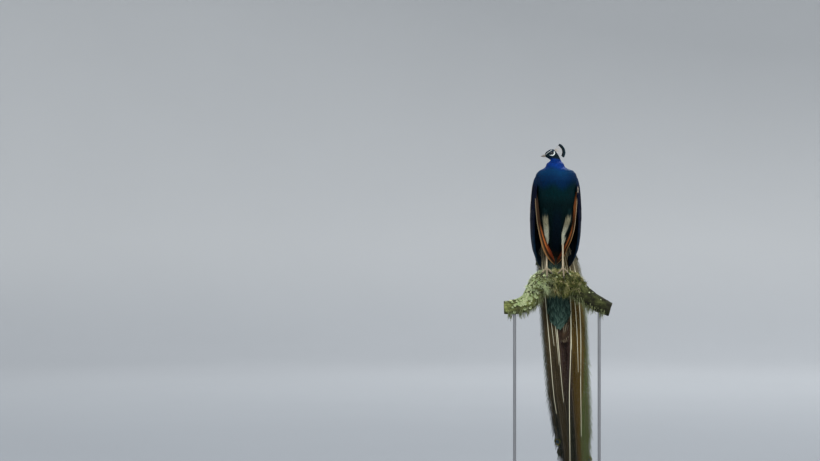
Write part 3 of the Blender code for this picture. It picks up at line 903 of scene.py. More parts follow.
# ---- meshes ----
@dataclass
class Batch:
    """Many like lofts: points by loft, ring and place round it, and what goes with each."""

    points: Array
    tint: Array
    vane: Array                          # places across and along, and the loft's chance value
    cell: Array                          # corner and size of each loft's cell of the bake map

    def quads(self) -> tuple[Array, Array]:
        """The faces' corners as vertex numbers and as places on the bake map.

        Returns:
            Vertex numbers and map places, by face and corner.
        """
        lofts, rings, spots, _ = self.points.shape
        counts = (np.arange(lofts), np.arange(rings - 1), np.arange(spots))
        loft, ring, spot = (number.ravel() for number in np.meshgrid(*counts, indexing="ij"))
        corners = ((0, 0), (0, 1), (1, 1), (1, 0))
        verts, places = [], []
        for up, on in corners[::-1] if self.inward() else corners:
            verts.append((loft * rings + ring + up) * spots + (spot + on) % spots)
            share = stack((spot + on) / spots, (ring + up) / (rings - 1))
            places.append(self.cell[loft, :2] + self.cell[loft, 2:] * share)
        return np.stack(verts, axis=-1), np.stack(places, axis=1)

    def inward(self) -> bool:
        """Whether the rings turn the wrong way for faces that look out.

        Returns:
            True where they do.
        """
        first, second = self.points[:, 0], self.points[:, 1]
        ahead = np.roll(first, -1, axis=1)
        normal = np.cross(ahead - first, second - first)
        return float(np.sum(normal * (first + ahead - 2 * first.mean(axis=1, keepdims=True)))) < 0


def unwrap(u: Array, v: Array) -> Array:
    """Small cells of the bake map at places from 0 to 1 on an unwrapped surface."""
    room = 1 - MAP_PATCH - 2 * MAP_MARGIN
    return stack(MAP_MARGIN + u * room, MAP_MARGIN + v * room, MAP_PATCH, MAP_PATCH)


def tiles(count: int) -> Array:
    """Square cells of the bake map, one for each loft.

    Args:
        count: how many.

    Returns:
        Each cell's corner and size.
    """
    side = math.ceil(math.sqrt(count))
    number, size = np.arange(count), 0.98 / side
    return stack(0.01 + (number % side) * size, 0.01 + (number // side) * size, size * 0.9, size * 0.9)


def strips(count: int) -> Array:
    """Tall cells of the bake map, one for each long loft."""
    return stack(0.01 + np.arange(count) * (0.98 / count), 0.01, 0.90 / count, 0.96)


def lofts(
    points: Array,
    colour: Array | Colour | Tint,
    cell: Array | None = None,
    chance: Array | float = 0.5,
    across: Array | None = None,
    along: Array | None = None,
) -> Batch:
    """Lofts as a batch.

    Args:
        points: points by loft, ring and place round it.
        colour: tints that spread to the points' shape, or a rule for point, place across and along.
        cell: cells of the bake map, or a tile for each loft.
        chance: a value of its own for each loft.
        across: the place across at each point of a ring, or the sine of the turn.
        along: the place along at each ring, or even steps.

    Returns:
        The batch.
    """
    count, rings, spots, _ = points.shape
    across = np.sin(circle(spots)) if across is None else across
    along = np.linspace(0, 1, rings)[:, None] if along is None else along
    vane = np.broadcast_to(stack(across, along, np.reshape(chance, (-1, 1, 1))), points.shape)
    if callable(colour):
        colour = colour(points - FEET, vane[..., 0], vane[..., 1])
    return Batch(points, np.broadcast_to(colour, points.shape), vane, tiles(count) if cell is None else cell)


def long_lofts(points: Array, colour: Tint, chance: Array) -> Batch:
    """Long vanes as a batch, each with a tall strip of the bake map."""
    across, _ = edge_to_edge(points.shape[2] // 2 + 1)
    return lofts(points, colour, strips(len(points)), chance, across)


@dataclass
class Piece:
    """One visible piece of the model: its name, finish and slot, and the solids it stands for."""

    name: str
    finish: Finish
    slot: str
    stands_for: tuple[str, ...] = ()

    def loft(self, *batches: Batch) -> None:
        """Makes the piece of lofts, each batch in its own strip of the bake map.

        Args:
            batches: what it is made of.
        """
        kept = [[], [], [], [], []]
        start, share = 0, 1 / len(batches)
        for number, batch in enumerate(batches):
            batch.cell[:, 0] = (batch.cell[:, 0] + number) * share
            if batch.cell[:, 2].max() > MAP_PATCH:
                batch.cell[:, 2] *= share
            quads, places = batch.quads()
            values = [value.reshape(-1, 3) for value in (batch.points, batch.tint, batch.vane)]
            for rows, value in zip(kept, (*values, quads + start, places.reshape(-1, 2))):
                rows.append(value)
            start += len(kept[0][-1])
        points, tints, vanes, faces, places = (np.concatenate(rows) for rows in kept)
        mesh = bpy.data.meshes.new(self.name)
        fill_mesh(mesh, points, faces)
        keep_values(mesh, tints, vanes)
        mesh.uv_layers.new(name="OFBake").data.foreach_set("uv", places.astype(np.float32).ravel())
        self.place(mesh)

    def place(self, mesh: bpy.types.Mesh) -> None:
        """Puts the mesh in the scene, dressed and riding on the body.

        Args:
            mesh: the piece's mesh.
        """
        mesh.materials.clear()
        mesh.materials.append(self.finish.material())
        piece = linked(self.name, mesh)
        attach(piece, BODY)
        if self.stands_for:
            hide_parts(*self.stands_for)
        LOG.info("%s: %d faces", self.name, len(mesh.polygons))


def linked(name: str, data: bpy.types.ID) -> bpy.types.Object:
    """An object of the scene with this mesh, lamp or camera.

    Args:
        name: the object's name.
        data: what it shows.

    Returns:
        The object.
    """
    made = bpy.data.objects.new(name, data)
    bpy.context.scene.collection.objects.link(made)
    return made


def fill_mesh(mesh: bpy.types.Mesh, points: Array, quads: Array) -> None:
    """Gives an empty mesh its points and four-cornered faces.

    Args:
        mesh: the mesh.
        points: one row a point.
        quads: each face's vertex numbers.
    """
    mesh.vertices.add(len(points))
    mesh.vertices.foreach_set("co", points.astype(np.float32).ravel())
    mesh.loops.add(quads.size)
    mesh.loops.foreach_set("vertex_index", quads.astype(np.int32).ravel())
    mesh.polygons.add(len(quads))
    mesh.polygons.foreach_set("loop_start", np.arange(0, quads.size, 4, dtype=np.int32))
    mesh.update(calc_edges=True)
    mesh.validate()
    mesh.shade_smooth()


def keep_values(mesh: bpy.types.Mesh, tints: Array, vanes: Array | None = None) -> None:
    """Keeps each point's colour and place on its vane with the mesh.

    Args:
        mesh: the mesh.
        tints: a colour for each point.
        vanes: places across and along, and the vane's chance value.
    """
    colours = np.concatenate((tints, np.ones((len(tints), 1))), axis=1)
    layer = mesh.attributes.new("tint", "FLOAT_COLOR", "POINT")
    layer.data.foreach_set("color", colours.astype(np.float32).ravel())
    if vanes is not None:
        layer = mesh.attributes.new("vane", "FLOAT_VECTOR", "POINT")
        layer.data.foreach_set("vector", vanes.astype(np.float32).ravel())


# ---- feathers ----
def edge_to_edge(columns: int) -> tuple[Array, Array]:
    """A vane's ring, over its face from edge to edge and back below: places across, and the lift."""
    ring = np.concatenate((np.linspace(-1, 1, columns), np.linspace(-1, 1, columns)[-2:0:-1]))
    return ring, (1 - ring**2) * np.where(np.arange(len(ring)) < columns, 1, -1)


class Outline(Enum):
    """Outlines of a vane: its width at the root, where it is widest, and how square its tip is."""

    ROUND = (0.42, 0.62, 2.4)
    BLUNT = (0.50, 0.75, 3.2)
    POINTED = (0.30, 0.45, 1.5)
    STRAP = (0.55, 0.86, 2.2)

    def width(self, along: Array) -> Array:
        """Half width as a share of the greatest, at shares of the length.

        Args:
            along: shares of the length.

        Returns:
            Half widths as shares of the greatest.
        """
        root, widest, power = self.value
        rise = root + (1 - root) * step(along, 0.0, widest)
        past = np.clip((along - widest) / (1 - widest), 0, 1)
        return np.maximum(rise * (1 - past**power) ** (1 / power), 0.10)


@dataclass(frozen=True)
class Vane:
    """A small feather's solid vane."""

    outline: Outline = Outline.ROUND
    rings: int = 4
    columns: int = 3                     # points across its upper face
    camber: float = 0.14                 # how far the edges fall, as a share of the width
    tilt: float = 0.10                   # how far the tip rises, as a share of the length
    bend: float = 0.06                   # how far it bends back, as a share of the length
    thick: float = 0.0005

    def along(self) -> Array:
        """Places of the rings, from the root to the tip."""
        return np.linspace(0, 1, self.rings) ** 0.85

    def points(self, root: Array, path: Array, way: Array, out: Array, length: Array, width: Array) -> Array:
        """Lofts of the vanes.

        Args:
            root: where each grows.
            path: its shaft's steps from there.
            way: the way it lies.
            out: the way out of the skin.
            length: lengths.
            width: widths.

        Returns:
            Points by feather, ring and place round the ring.
        """
        along = self.along()
        across, face = edge_to_edge(self.columns)
        wide = (width[:, None] / 2 * self.outline.width(along))[..., None, None]
        lift = length[:, None] * (self.tilt * along - self.bend * along**2)
        raised = lift[..., None] - self.camber * width[:, None, None] * across**2 + face * self.thick / 2
        spread = wide * across[:, None] * np.cross(way, out)[:, None, None]
        return root[:, None, None] + path[:, :, None] + spread + out[:, None, None] * raised[..., None]

    def straight(self, root: Array, way: Array, out: Array, length: Array, width: Array) -> Array:
        """Lofts of vanes with straight shafts."""
        path = way[:, None] * (length[:, None] * self.along())[..., None]
        return self.points(root, path, way, out, length, width)


@dataclass(frozen=True)
class Tract:
    """A field of like feathers on a form, in staggered rows from one height down to another."""

    start: float
    end: float
    pitch: tuple[tuple[float, float], ...]   # heights and the spacing at each
    long: float                              # length as a share of the pitch
    wide: float                              # width as a share of the pitch
    sunk: float                              # how deep the roots lie
    vane: Vane
    yaw: float                               # how far the ways they lie differ, in radians
    spread: float                            # how far the sizes differ, as a share
    row: float                               # from row to row, as a share of the pitch
    seed: int
    clear: bool = False                      # shorter where a tip would leave the field

    def roots(self, form: Form) -> tuple[Array, Array, Array]:
        """Places across and along the form, and the pitch at each.

        Args:
            form: the surface they grow from.

        Returns:
            Places across and along the form, and the pitch at each.
        """
        rng = np.random.default_rng(self.seed)
        heights, sizes = np.array(sorted(self.pitch)).T
        fine = np.linspace(*form.span, 97)
        rows = []
        v, course = self.start, 0
        while v > self.end:
            pitch = float(np.interp(v, heights, sizes))
            line = form.at(fine, np.full(97, v))
            run = np.concatenate(([0], np.cumsum(np.linalg.norm(np.diff(line, axis=0), axis=1))))
            count = max(int(run[-1] / pitch), 3)
            places = (np.arange(count) + 0.25 + 0.5 * (course % 2) + rng.uniform(-0.10, 0.10, count)) / count
            shift = rng.uniform(-0.10, 0.10, count)
            below = form.at(fine, np.full(97, v - SMALL))
            rate = float(np.quantile(np.linalg.norm(below - line, axis=1), 0.7)) / SMALL
            stride = pitch * self.row / rate
            rows.append((np.interp(places * run[-1], run, fine), v - shift * stride, np.full(count, pitch)))
            v -= stride
            course += 1
        return tuple(np.concatenate(values) for values in zip(*rows))

    def grow(
        self,
        form: Form,
        tint: Tint,
        keep: Keep | None = None,
    ) -> Batch:
        """Sets the feathers on a form, each shaft following its curve.

        Args:
            form: the surface they grow from.
            tint: colours from each point, its place across and along its vane.
            keep: which roots hold a feather.

        Returns:
            The feathers as lofts.
        """
        u, v, pitch = self.roots(form)
        chosen = keep(form.at(u, v) - FEET) if keep else np.ones(len(u), bool)
        u, v, pitch = u[chosen], v[chosen], pitch[chosen]
        rng = np.random.default_rng(self.seed + 100)
        count, spread = len(u), self.spread
        root, way, out = form.lie(u, v, rng.normal(0, self.yaw, count))
        length = pitch * self.long * (1 + rng.uniform(-spread, spread, count))
        width = pitch * self.wide * (1 + rng.uniform(-spread, spread, count))
        if self.clear:
            free = self.free(root, way, length, keep)
            length = length * free
            width = width * (0.4 + 0.6 * free)
        along = self.vane.along()
        straight = way[:, None] * (length[:, None] * along)[..., None]
        rate = np.linalg.norm(form.at(u, v - SMALL) - root, axis=-1) / SMALL
        reach = -length / np.maximum(rate, 1e-4)
        track = form.at(u[:, None], v[:, None] + reach[:, None] * along) - root[:, None]
        run = np.linalg.norm(track[:, -1], axis=-1)
        aside = square_to(way, form.lie(u, v)[1])
        curved = track * (length / np.maximum(run, 1e-6))[:, None, None]
        curved = curved + aside[:, None] * (length[:, None] * along)[..., None]
        path = np.where((run > 0.3 * length)[:, None, None], curved, straight)
        way = unit(path[:, -1])
        out = unit(unit(square_to(out, way)) + rng.normal(0, 0.05, out.shape))
        points = self.vane.points(root - out * self.sunk, path, way, out, length, width)
        low, high = form.span
        cell = unwrap((u - low) / (high - low), np.clip((v - self.start) / (self.end - self.start), 0, 1))
        across, _ = edge_to_edge(self.vane.columns)
        return lofts(points, tint, cell, rng.uniform(0, 1, count), across, along[:, None])

    @staticmethod
    def free(root: Array, way: Array, length: Array, keep: Keep) -> Array:
        """The share of each length that stays where a feather may lie.

        Args:
            root: where each grows.
            way: the way it lies.
            length: lengths.
            keep: where a feather may lie.

        Returns:
            A share for each.
        """
        free = np.full(len(root), 0.22)
        held = np.ones(len(root), bool)
        for share in (0.3, 0.45, 0.6, 0.8, 1.0):
            held &= keep(root - FEET + way * (length * share)[:, None])
            free = np.where(held, share, free)
        return free


def tubes(paths: Array, radii: Array, spots: int, flat: float = 1.0, up: tuple = (0.03, 0.02, 1.0)) -> Array:
    """Rings along many paths.

    Args:
        paths: points by path and step.
        radii: radius at each, spread to the same shape.
        spots: points round each ring.
        flat: thickness across the second direction, as a share.
        up: the way that the first direction is square to.

    Returns:
        Points by path, step and place round the ring.
    """
    tangent = unit(np.gradient(paths, axis=1))
    side = unit(np.cross(tangent, np.broadcast_to(up, tangent.shape)))
    over = np.cross(side, tangent)
    turn = circle(spots)[:, None]
    ring = side[..., None, :] * np.cos(turn) + over[..., None, :] * (flat * np.sin(turn))
    return paths[..., None, :] + ring * np.broadcast_to(radii, paths.shape[:2])[..., None, None]


@dataclass(frozen=True)
class LongVane:
    """A long feather's vane, of one width, that follows a form."""

    outline: Outline
    width: float
    camber: float                        # how far the edges fall, as a share of the width
    lean: float                          # how far one edge lies over the next feather, likewise
    thick: float
    rings: int
    columns: int                         # points across its upper face

    def lay(self, form: Form, middle: tuple, heights: tuple, raised: Array) -> Array:
        """Lofts of such vanes on a form.

        Args:
            form: the surface.
            middle: each shaft's place across the form at its root and at its tip.
            heights: the height of each root and tip.
            raised: how far each stands out of the form.

        Returns:
            Points by feather, ring and place round the ring.
        """
        across, face = edge_to_edge(self.columns)
        along = np.linspace(0, 1, self.rings)
        v = heights[0][:, None] + (heights[1] - heights[0])[:, None] * along
        shaft = middle[0][:, None] + (middle[1] - middle[0])[:, None] * along
        line = form.at(np.linspace(*form.span, 33)[:, None, None], v[None])
        run = np.linalg.norm(np.diff(line, axis=0), axis=-1).sum(axis=0) / (form.span[1] - form.span[0])
        u = shaft[..., None] + (self.width / 2 * self.outline.width(along) / run)[..., None] * across
        point, _, out = form.lie(u, np.broadcast_to(v[..., None], u.shape))
        bow = self.width * (self.lean * across - self.camber * across**2)
        return point + out * (raised[:, None, None] + face * self.thick / 2 + bow)[..., None]


def free_vanes(path: Array, half: Array, forward: tuple, facing: tuple, lean: float, camber: float) -> Array:
    """Strap-shaped vanes on shafts of their own.

    Args:
        path: shafts by feather and step.
        half: half width at each step, at its greatest.
        forward: the way across a vane.
        facing: the way out of its face.
        lean: how far one edge stands out.
        camber: how far both edges fall.

    Returns:
        Points by feather, ring and place round the ring.
    """
    across, face = edge_to_edge(LONG_COLUMNS)
    reach = half * Outline.STRAP.width(np.linspace(0, 1, path.shape[1]))
    lift = face * 0.0004 + lean * across - camber * across**2
    spread = np.array(forward) * (reach[..., None] * across)[..., None]
    return path[:, :, None] + spread + np.array(facing) * lift[:, None]


# ---- markings ----
def distance_to(line: tuple, x: Array, z: Array) -> Array:
    """How far points are from a line of straight runs, seen from the side.

    Args:
        line: the line's points, x and z.
        x: the points' x.
        z: their z.

    Returns:
        The distances.
    """
    best = np.full(np.shape(x), 1.0)
    for (ax, az), (bx, bz) in zip(line, line[1:]):
        run = (bx - ax) ** 2 + (bz - az) ** 2
        t = np.clip(((x - ax) * (bx - ax) + (z - az) * (bz - az)) / run, 0, 1)
        best = np.minimum(best, np.hypot(x - ax - t * (bx - ax), z - az - t * (bz - az)))
    return best


@dataclass(frozen=True)
class Markings:
    """The colours that skin and coat share, by the place on the bird relative to its feet."""

    crown: Colour = rgb(5, 26, 34)
    bare: Colour = rgb(208, 214, 210)
    cobalt: Colour = rgb(4, 50, 124)
    teal: Colour = rgb(2, 50, 88)
    navy: Colour = rgb(1, 38, 74)
    sea: Colour = rgb(1, 36, 40)
    belly: Colour = rgb(1, 25, 27)
    centre: Colour = rgb(1, 19, 31)
    bronze: Colour = rgb(84, 100, 40)
    scale_edge: Colour = rgb(10, 18, 12)
    buff: Colour = rgb(144, 139, 112)
    vent: Colour = rgb(38, 34, 26)
    rim: Colour = rgb(24, 28, 30)
    leg: Colour = rgb(184, 170, 142)
    toe: Colour = rgb(146, 134, 110)
    blue_black: Colour = rgb(7, 14, 34)
    brow_line: tuple = ((-0.0556, 0.6001), (-0.0400, 0.6125), (-0.0239, 0.6235))
    cheek_line: tuple = (
        (-0.0333, 0.5964), (-0.0198, 0.5949), (-0.0125, 0.6000), (-0.0104, 0.6068), (-0.0120, 0.6150),
    )

    def bare_face(self, x: Array, y: Array, z: Array) -> Array:
        """The share of bare white skin on the face.

        Args:
            x: relative to the feet, as y and z are.
            y: fore and aft.
            z: the height.

        Returns:
            A share for each point.
        """
        brow = 1 - step(distance_to(self.brow_line, x, z), 0.0011, 0.0016)
        fat = 0.0006 * step(x, -0.034, -0.022) * (1 - step(z, 0.607, 0.616))
        cheek = 1 - step(distance_to(self.cheek_line, x, z) - fat, 0.0019, 0.0026)
        return np.maximum(brow, cheek) * step(np.abs(y - HEAD_Y), 0.0035, 0.0060)

    def eye_reach(self, x: Array, z: Array) -> Array:
        """How far points of the face are from the eye's middle, seen from the side."""
        return np.hypot(x - EYE[0], z - EYE[2])

    def torso(self, p: Array) -> Array:
        """Neck, breast and belly.

        Args:
            p: points relative to the feet.

        Returns:
            The tints.
        """
        x, y, z = np.moveaxis(p, -1, 0)
        wave = 0.006 * np.sin(x * 60) + 0.004 * np.sin(y * 45 + 1)
        middle = (1 - step(np.abs(x), 0.012, 0.034)) * (1 - step(z, 0.25, 0.36)) * (1 - step(y, 0.06, 0.10))
        return layered(
            self.crown,
            (self.cobalt, 1 - step(z + wave * 0.6, 0.566, 0.580)),
            (self.teal, 1 - step(z + wave, 0.512, 0.540)),
            (self.navy, 1 - step(z + wave, 0.476, 0.512)),
            (self.sea, 1 - step(z + wave * 2, 0.415, 0.465)),
            (self.belly, 1 - step(z, 0.330, 0.400)),
            (self.centre, middle),
            (self.vent, 1 - step(z + wave, 0.075, 0.115)),
        )

    def back(self, p: Array, across: Array, along: Array) -> Array:
        """The scaly bronze of the back, black at each feather's edge."""
        edge = np.maximum(step(np.abs(across), 0.62, 0.98), step(along, 0.74, 0.96))
        return layered(self.teal, (self.bronze, 1 - step(p[..., 2], 0.455, 0.510)), (self.scale_edge, edge))

    def shanks(self, z: Array) -> Array:
        """Legs, darker down the toes."""
        return blend(self.leg, self.toe, 1 - step(z, 0.004, 0.030))

    def skin(self, p: Array) -> Array:
        """Everything under the coat, and the bare face and legs.

        Args:
            p: points relative to the feet.

        Returns:
            The tints.
        """
        x, y, z = np.moveaxis(p, -1, 0)
        head = step(z, 0.57, 0.58)
        left, right, _, wide, _ = table_at(THIGH, z)
        thigh = (np.abs(x - np.where(x > 0, left, right)) < wide + 0.002) & (y < 0.035)
        return layered(
            self.torso(p) * 0.7,
            (self.bare, self.bare_face(x, y, z) * head),
            (self.rim, (1 - step(self.eye_reach(x, z), 0.0050, 0.0062)) * head),
            (np.array(self.buff) * 0.7, thigh * (1 - step(z, 0.235, 0.280))),
            (self.shanks(z), 1 - step(z + (y > 0.05), 0.139, 0.147)),
        )


MARKS = Markings()


# ---- the bird ----
def loose(name: str, shape: bmesh.types.BMesh) -> bpy.types.Object:
    """A shape as an object that a Boolean or a remesh uses up.

    Args:
        name: the object's name.
        shape: the shape, which goes.

    Returns:
        The object.
    """
    mesh = bpy.data.meshes.new(name)
    shape.to_mesh(mesh)
    shape.free()
    return linked(name, mesh)


def lofted(name: str, rings: Array, ends: tuple[int, ...] = (0, -1)) -> bpy.types.Object:
    """A loose body through rings, capped at its ends or joined end to end.

    Args:
        name: the object's name.
        rings: points by ring and place round it.
        ends: which rings are capped; with none, the last joins the first.

    Returns:
        The loose object.
    """
    shape = bmesh.new()
    loops = [[shape.verts.new(point) for point in ring] for ring in rings]
    for lower, upper in zip(loops, loops[1:] if ends else loops[1:] + loops[:1]):
        for i, vert in enumerate(lower):
            j = (i + 1) % len(lower)
            shape.faces.new((vert, lower[j], upper[j], upper[i]))
    for end in ends:
        shape.faces.new(loops[end])
    bmesh.ops.recalc_face_normals(shape, faces=shape.faces)
    return loose(name, shape)


def globe(name: str, middle: Array, radius: float) -> bpy.types.Object:
    """A loose ball with its poles fore and aft.

    Args:
        name: the object's name.
        middle: its centre.
        radius: its radius.

    Returns:
        The loose object.
    """
    shape = bmesh.new()
    place = Matrix.Translation(Vector(middle)) @ Matrix.Rotation(math.pi / 2, 4, "X")
    bmesh.ops.create_uvsphere(shape, u_segments=32, v_segments=20, radius=radius, matrix=place)
    return loose(name, shape)


def evaluated(obj: bpy.types.Object) -> bpy.types.Mesh:
    """A new mesh of the object with its modifiers applied."""
    graph = bpy.context.evaluated_depsgraph_get()
    return bpy.data.meshes.new_from_object(obj.evaluated_get(graph))


def melted(name: str, bodies: list[bpy.types.Object], voxel: float, rounds: int) -> bpy.types.Object:
    """Overlapping bodies as one smooth skin.

    Args:
        name: the result's name.
        bodies: what is joined; they go.
        voxel: the size of its faces.
        rounds: how many times it is smoothed.

    Returns:
        The loose object.
    """
    shape = bmesh.new()
    for body in bodies:
        shape.from_mesh(body.data)
        bpy.data.objects.remove(body)
    made = loose(name, shape)
    remesh = made.modifiers.new("melt", "REMESH")
    remesh.mode, remesh.voxel_size = "VOXEL", voxel
    ease = made.modifiers.new("ease", "SMOOTH")
    ease.factor, ease.iterations = 0.5, rounds
    made.data = evaluated(made)
    made.modifiers.clear()
    return made


@dataclass
class Flesh:
    """One skin from the bill to the toes, which lies a coat's depth inside the bird's outline."""

    coat: float = 0.0050                 # how deep it lies under the coat
    head_coat: float = 0.0013
    thigh_coat: float = 0.0035
    trunk_voxel: float = 0.0036          # sizes of the faces, finer on head and legs
    head_voxel: float = 0.0010
    leg_voxel: float = 0.0013
    trunk_ends: tuple[float, float] = (0.5690, 0.0560)
    thigh_ends: tuple[float, float] = (0.335, 0.1385)
    wing_ends: tuple[float, float] = (0.478, 0.3250)
    lid: tuple[float, float] = (0.0043, 0.0034)
    lid_fat: float = 0.00085             # how thick the lids' rims are, and how much more above
    lid_more: float = 0.00035
    heel: float = 0.0084
    # How thick the shank is at places from the ankle, 0, to the foot, 1.
    swell: tuple = (
        (-0.08, 0.95), (0.0, 1.10), (0.07, 1.32), (0.16, 1.02), (0.55, 0.94), (0.88, 1.05), (1.02, 1.25),
    )

    def build(self) -> None:
        """Makes the skin: trunk, head and legs joined, with sockets cut for the eyes."""
        skin = melted("skin", self.trunk() + self.arms(), self.trunk_voxel, 4)
        added = [
            melted("head_skin", self.head(), self.head_voxel, 1),
            melted("leg_skin", self.legs(), self.leg_voxel, 1),
        ]
        balls = [globe("ball", self.eye(sign), EYE_RADIUS + 0.0001) for sign in SIDES.values()]
        for part in added + balls:
            join = skin.modifiers.new("join", "BOOLEAN")
            join.operation = "UNION" if part in added else "DIFFERENCE"
            join.solver = "EXACT"
            join.object = part
        mesh = evaluated(skin)
        for part in (skin, *added, *balls):
            bpy.data.objects.remove(part)
        points = np.empty(len(mesh.vertices) * 3, dtype=np.float32)
        mesh.vertices.foreach_get("co", points)
        mesh.shade_smooth()
        keep_values(mesh, MARKS.skin(points.reshape(-1, 3) - FEET))
        nodes = ("head", "neck_upper", "neck_lower", "breast", "trunk")
        for side in SIDES:
            nodes += (f"thigh_{side}", f"tarsus_{side}", f"foot_{side}")
        Piece("skin", SkinFinish(), "leg_scales", nodes).place(mesh)

    @staticmethod
    def eye(sign: int) -> Array:
        """The middle of one eye."""
        return FEET + (EYE[0], HEAD_Y - sign * EYE[1], EYE[2])

    @staticmethod
    def inset(form: Form, heights: Array, depth: float, count: int) -> Array:
        """Rings of a form, sunk below its surface."""
        point, _, out = form.lie(*np.meshgrid(circle(count), heights))
        return point - out * depth

    def trunk(self) -> list[bpy.types.Object]:
        """Neck, body and thighs.

        Returns:
            The loose bodies.
        """
        made = [lofted("trunk", self.inset(Ovals(TORSO), np.linspace(*self.trunk_ends, 60), self.coat, 48))]
        for side in SIDES:
            rings = self.inset(Thigh(side), np.linspace(*self.thigh_ends, 24), self.thigh_coat, 24)
            made.append(lofted("thigh", rings))
        return made

    def arms(self) -> list[bpy.types.Object]:
        """The fleshy part of each folded wing.

        Returns:
            The loose bodies.
        """
        made = []
        for side in SIDES:
            u, v = np.meshgrid(np.linspace(0.05, 0.95, 14), np.linspace(*self.wing_ends, 16))
            point, _, out = WingForm(side).lie(u, v)
            thick = table_at(WING, v)[4] * (0.35 + 0.65 * np.sin(math.pi * u)) - self.coat * 0.4
            outer = point - out * self.coat
            inner = point - out * np.maximum(thick, self.coat + 0.004)[..., None]
            made.append(lofted("arm", np.concatenate((outer, inner[:, ::-1]), axis=1)))
        return made

    def head(self) -> list[bpy.types.Object]:
        """Head and throat, with the lids' rims.

        Returns:
            The loose bodies.
        """
        rings = self.inset(HeadForm(), np.linspace(0.006, 0.999, 60), self.head_coat, 64)
        middle = rings[0].mean(axis=0)
        low = middle + (rings[0] - middle) * 0.60 + (0.0, 0.0, -0.0100)
        return [lofted("head", (low, *rings)), *(self.lids(sign) for sign in SIDES.values())]

    def lids(self, sign: int) -> bpy.types.Object:
        """A rim round one eye, fuller above than below, pointed fore and aft.

        Args:
            sign: 1 for the left eye, -1 for the right.

        Returns:
            The loose rim.
        """
        turn = circle(40)
        x = self.lid[0] * np.cos(turn) * (1 + 0.10 * np.cos(2 * turn))
        z = 0.0002 + self.lid[1] * np.sin(turn)
        y = 0.0002 + np.sqrt(np.maximum(EYE_RADIUS**2 - x**2 - z**2, 1e-8))
        path = self.eye(sign) + stack(x, -sign * y, z)
        fat = self.lid_fat + self.lid_more * np.maximum(np.sin(turn), 0)
        ahead = unit(np.roll(path, -1, axis=0) - np.roll(path, 1, axis=0))
        outward = unit(square_to(path - path.mean(axis=0), ahead))
        over = np.cross(ahead, outward)
        around = circle(10)[:, None]
        ring = np.cos(around) * outward[:, None] + np.sin(around) * over[:, None]
        return lofted("lid", path[:, None] + fat[:, None, None] * ring, ends=())

    def legs(self) -> list[bpy.types.Object]:
        """Shanks and toes with their pads.

        Returns:
            The loose bodies.
        """
        made = []
        for side in SIDES:
            made.append(lofted("shank", self.shank(side)))
            made += [lofted("toe", toe_rings(side, toe)) for toe in TOES]
            made.append(globe("heel", FEET + (FOOT_X[side], 0, FOOT_TOP_Z - 0.0087), self.heel))
        return made

    def shank(self, side: str) -> Array:
        """Rings of a bare leg from inside the thigh to the foot.

        Args:
            side: left or right.

        Returns:
            Points by ring and place round it.
        """
        start, end = shank_ends(side)
        along = np.linspace(-0.08, 1.02, 30)
        path = start + (end - start) * along[:, None]
        places, swell = np.array(self.swell).T
        radius = TARSUS_RADIUS * np.interp(along, places, swell)
        return tubes(path[None], radius, 20, 1.12, (0.0, 1.0, 0.0))[0]


def shank_ends(side: str) -> tuple[Array, Array]:
    """The ankle and the top of the foot."""
    return FEET + (*ANKLE[side], ANKLE_Z), FEET + (FOOT_X[side], 0.0, FOOT_TOP_Z)


def toe_path(side: str, toe: str, along: Array) -> Array:
    """The middle of a toe, which follows the perch's round.

    Args:
        side: left or right.
        toe: the toe's name.
        along: shares of its length.

    Returns:
        The points.
    """
    spread, length = TOES[toe]
    reach = PERCH_RADIUS + TOE_RADIUS + 0.0003
    run = length * along
    turn = run * math.cos(spread) / reach
    x = FOOT_X[side] + run * math.sin(spread) * SIDES[side]
    return FEET + stack(x, -reach * np.sin(turn), PERCH_AXIS_Z + reach * np.cos(turn))


def toe_rings(side: str, toe: str) -> Array:
    """A toe with a pad under each joint.

    Args:
        side: left or right.
        toe: the toe's name.

    Returns:
        Points by ring and place round it.
    """
    along = np.linspace(0, 1, 26)
    radii = TOE_RADIUS * (0.94 - 0.28 * along) * (1 + 0.07 * np.cos(along * 3.4 * TAU))
    radii[-1] *= 0.7
    return tubes(toe_path(side, toe, along)[None], radii, 16, 1.0, (1.0, 0.0, 0.0))[0]


@dataclass
class Eyes:
    """Two wet eyes with pupil and iris, set deep between the lids."""

    rings: int = 24
    spots: int = 48

    def build(self) -> None:
        """Makes both eyes."""
        tilt = np.linspace(0.02, math.pi - 0.02, self.rings)[:, None]
        turn = circle(self.spots)
        bulge = EYE_RADIUS * (1 + 0.05 * np.exp(-((tilt / 0.5) ** 2)))
        for side, sign in SIDES.items():
            local = stack(np.sin(tilt) * np.cos(turn), -sign * np.cos(tilt), np.sin(tilt) * np.sin(turn))
            points = Flesh.eye(sign) + local * bulge[..., None]
            batch = lofts(points[None], (1.0, 1.0, 1.0), across=turn / TAU, along=tilt / math.pi)
            Piece(f"eyeball_{side}", EyeFinish(), "eye", (f"eye_{side}",)).loft(batch)


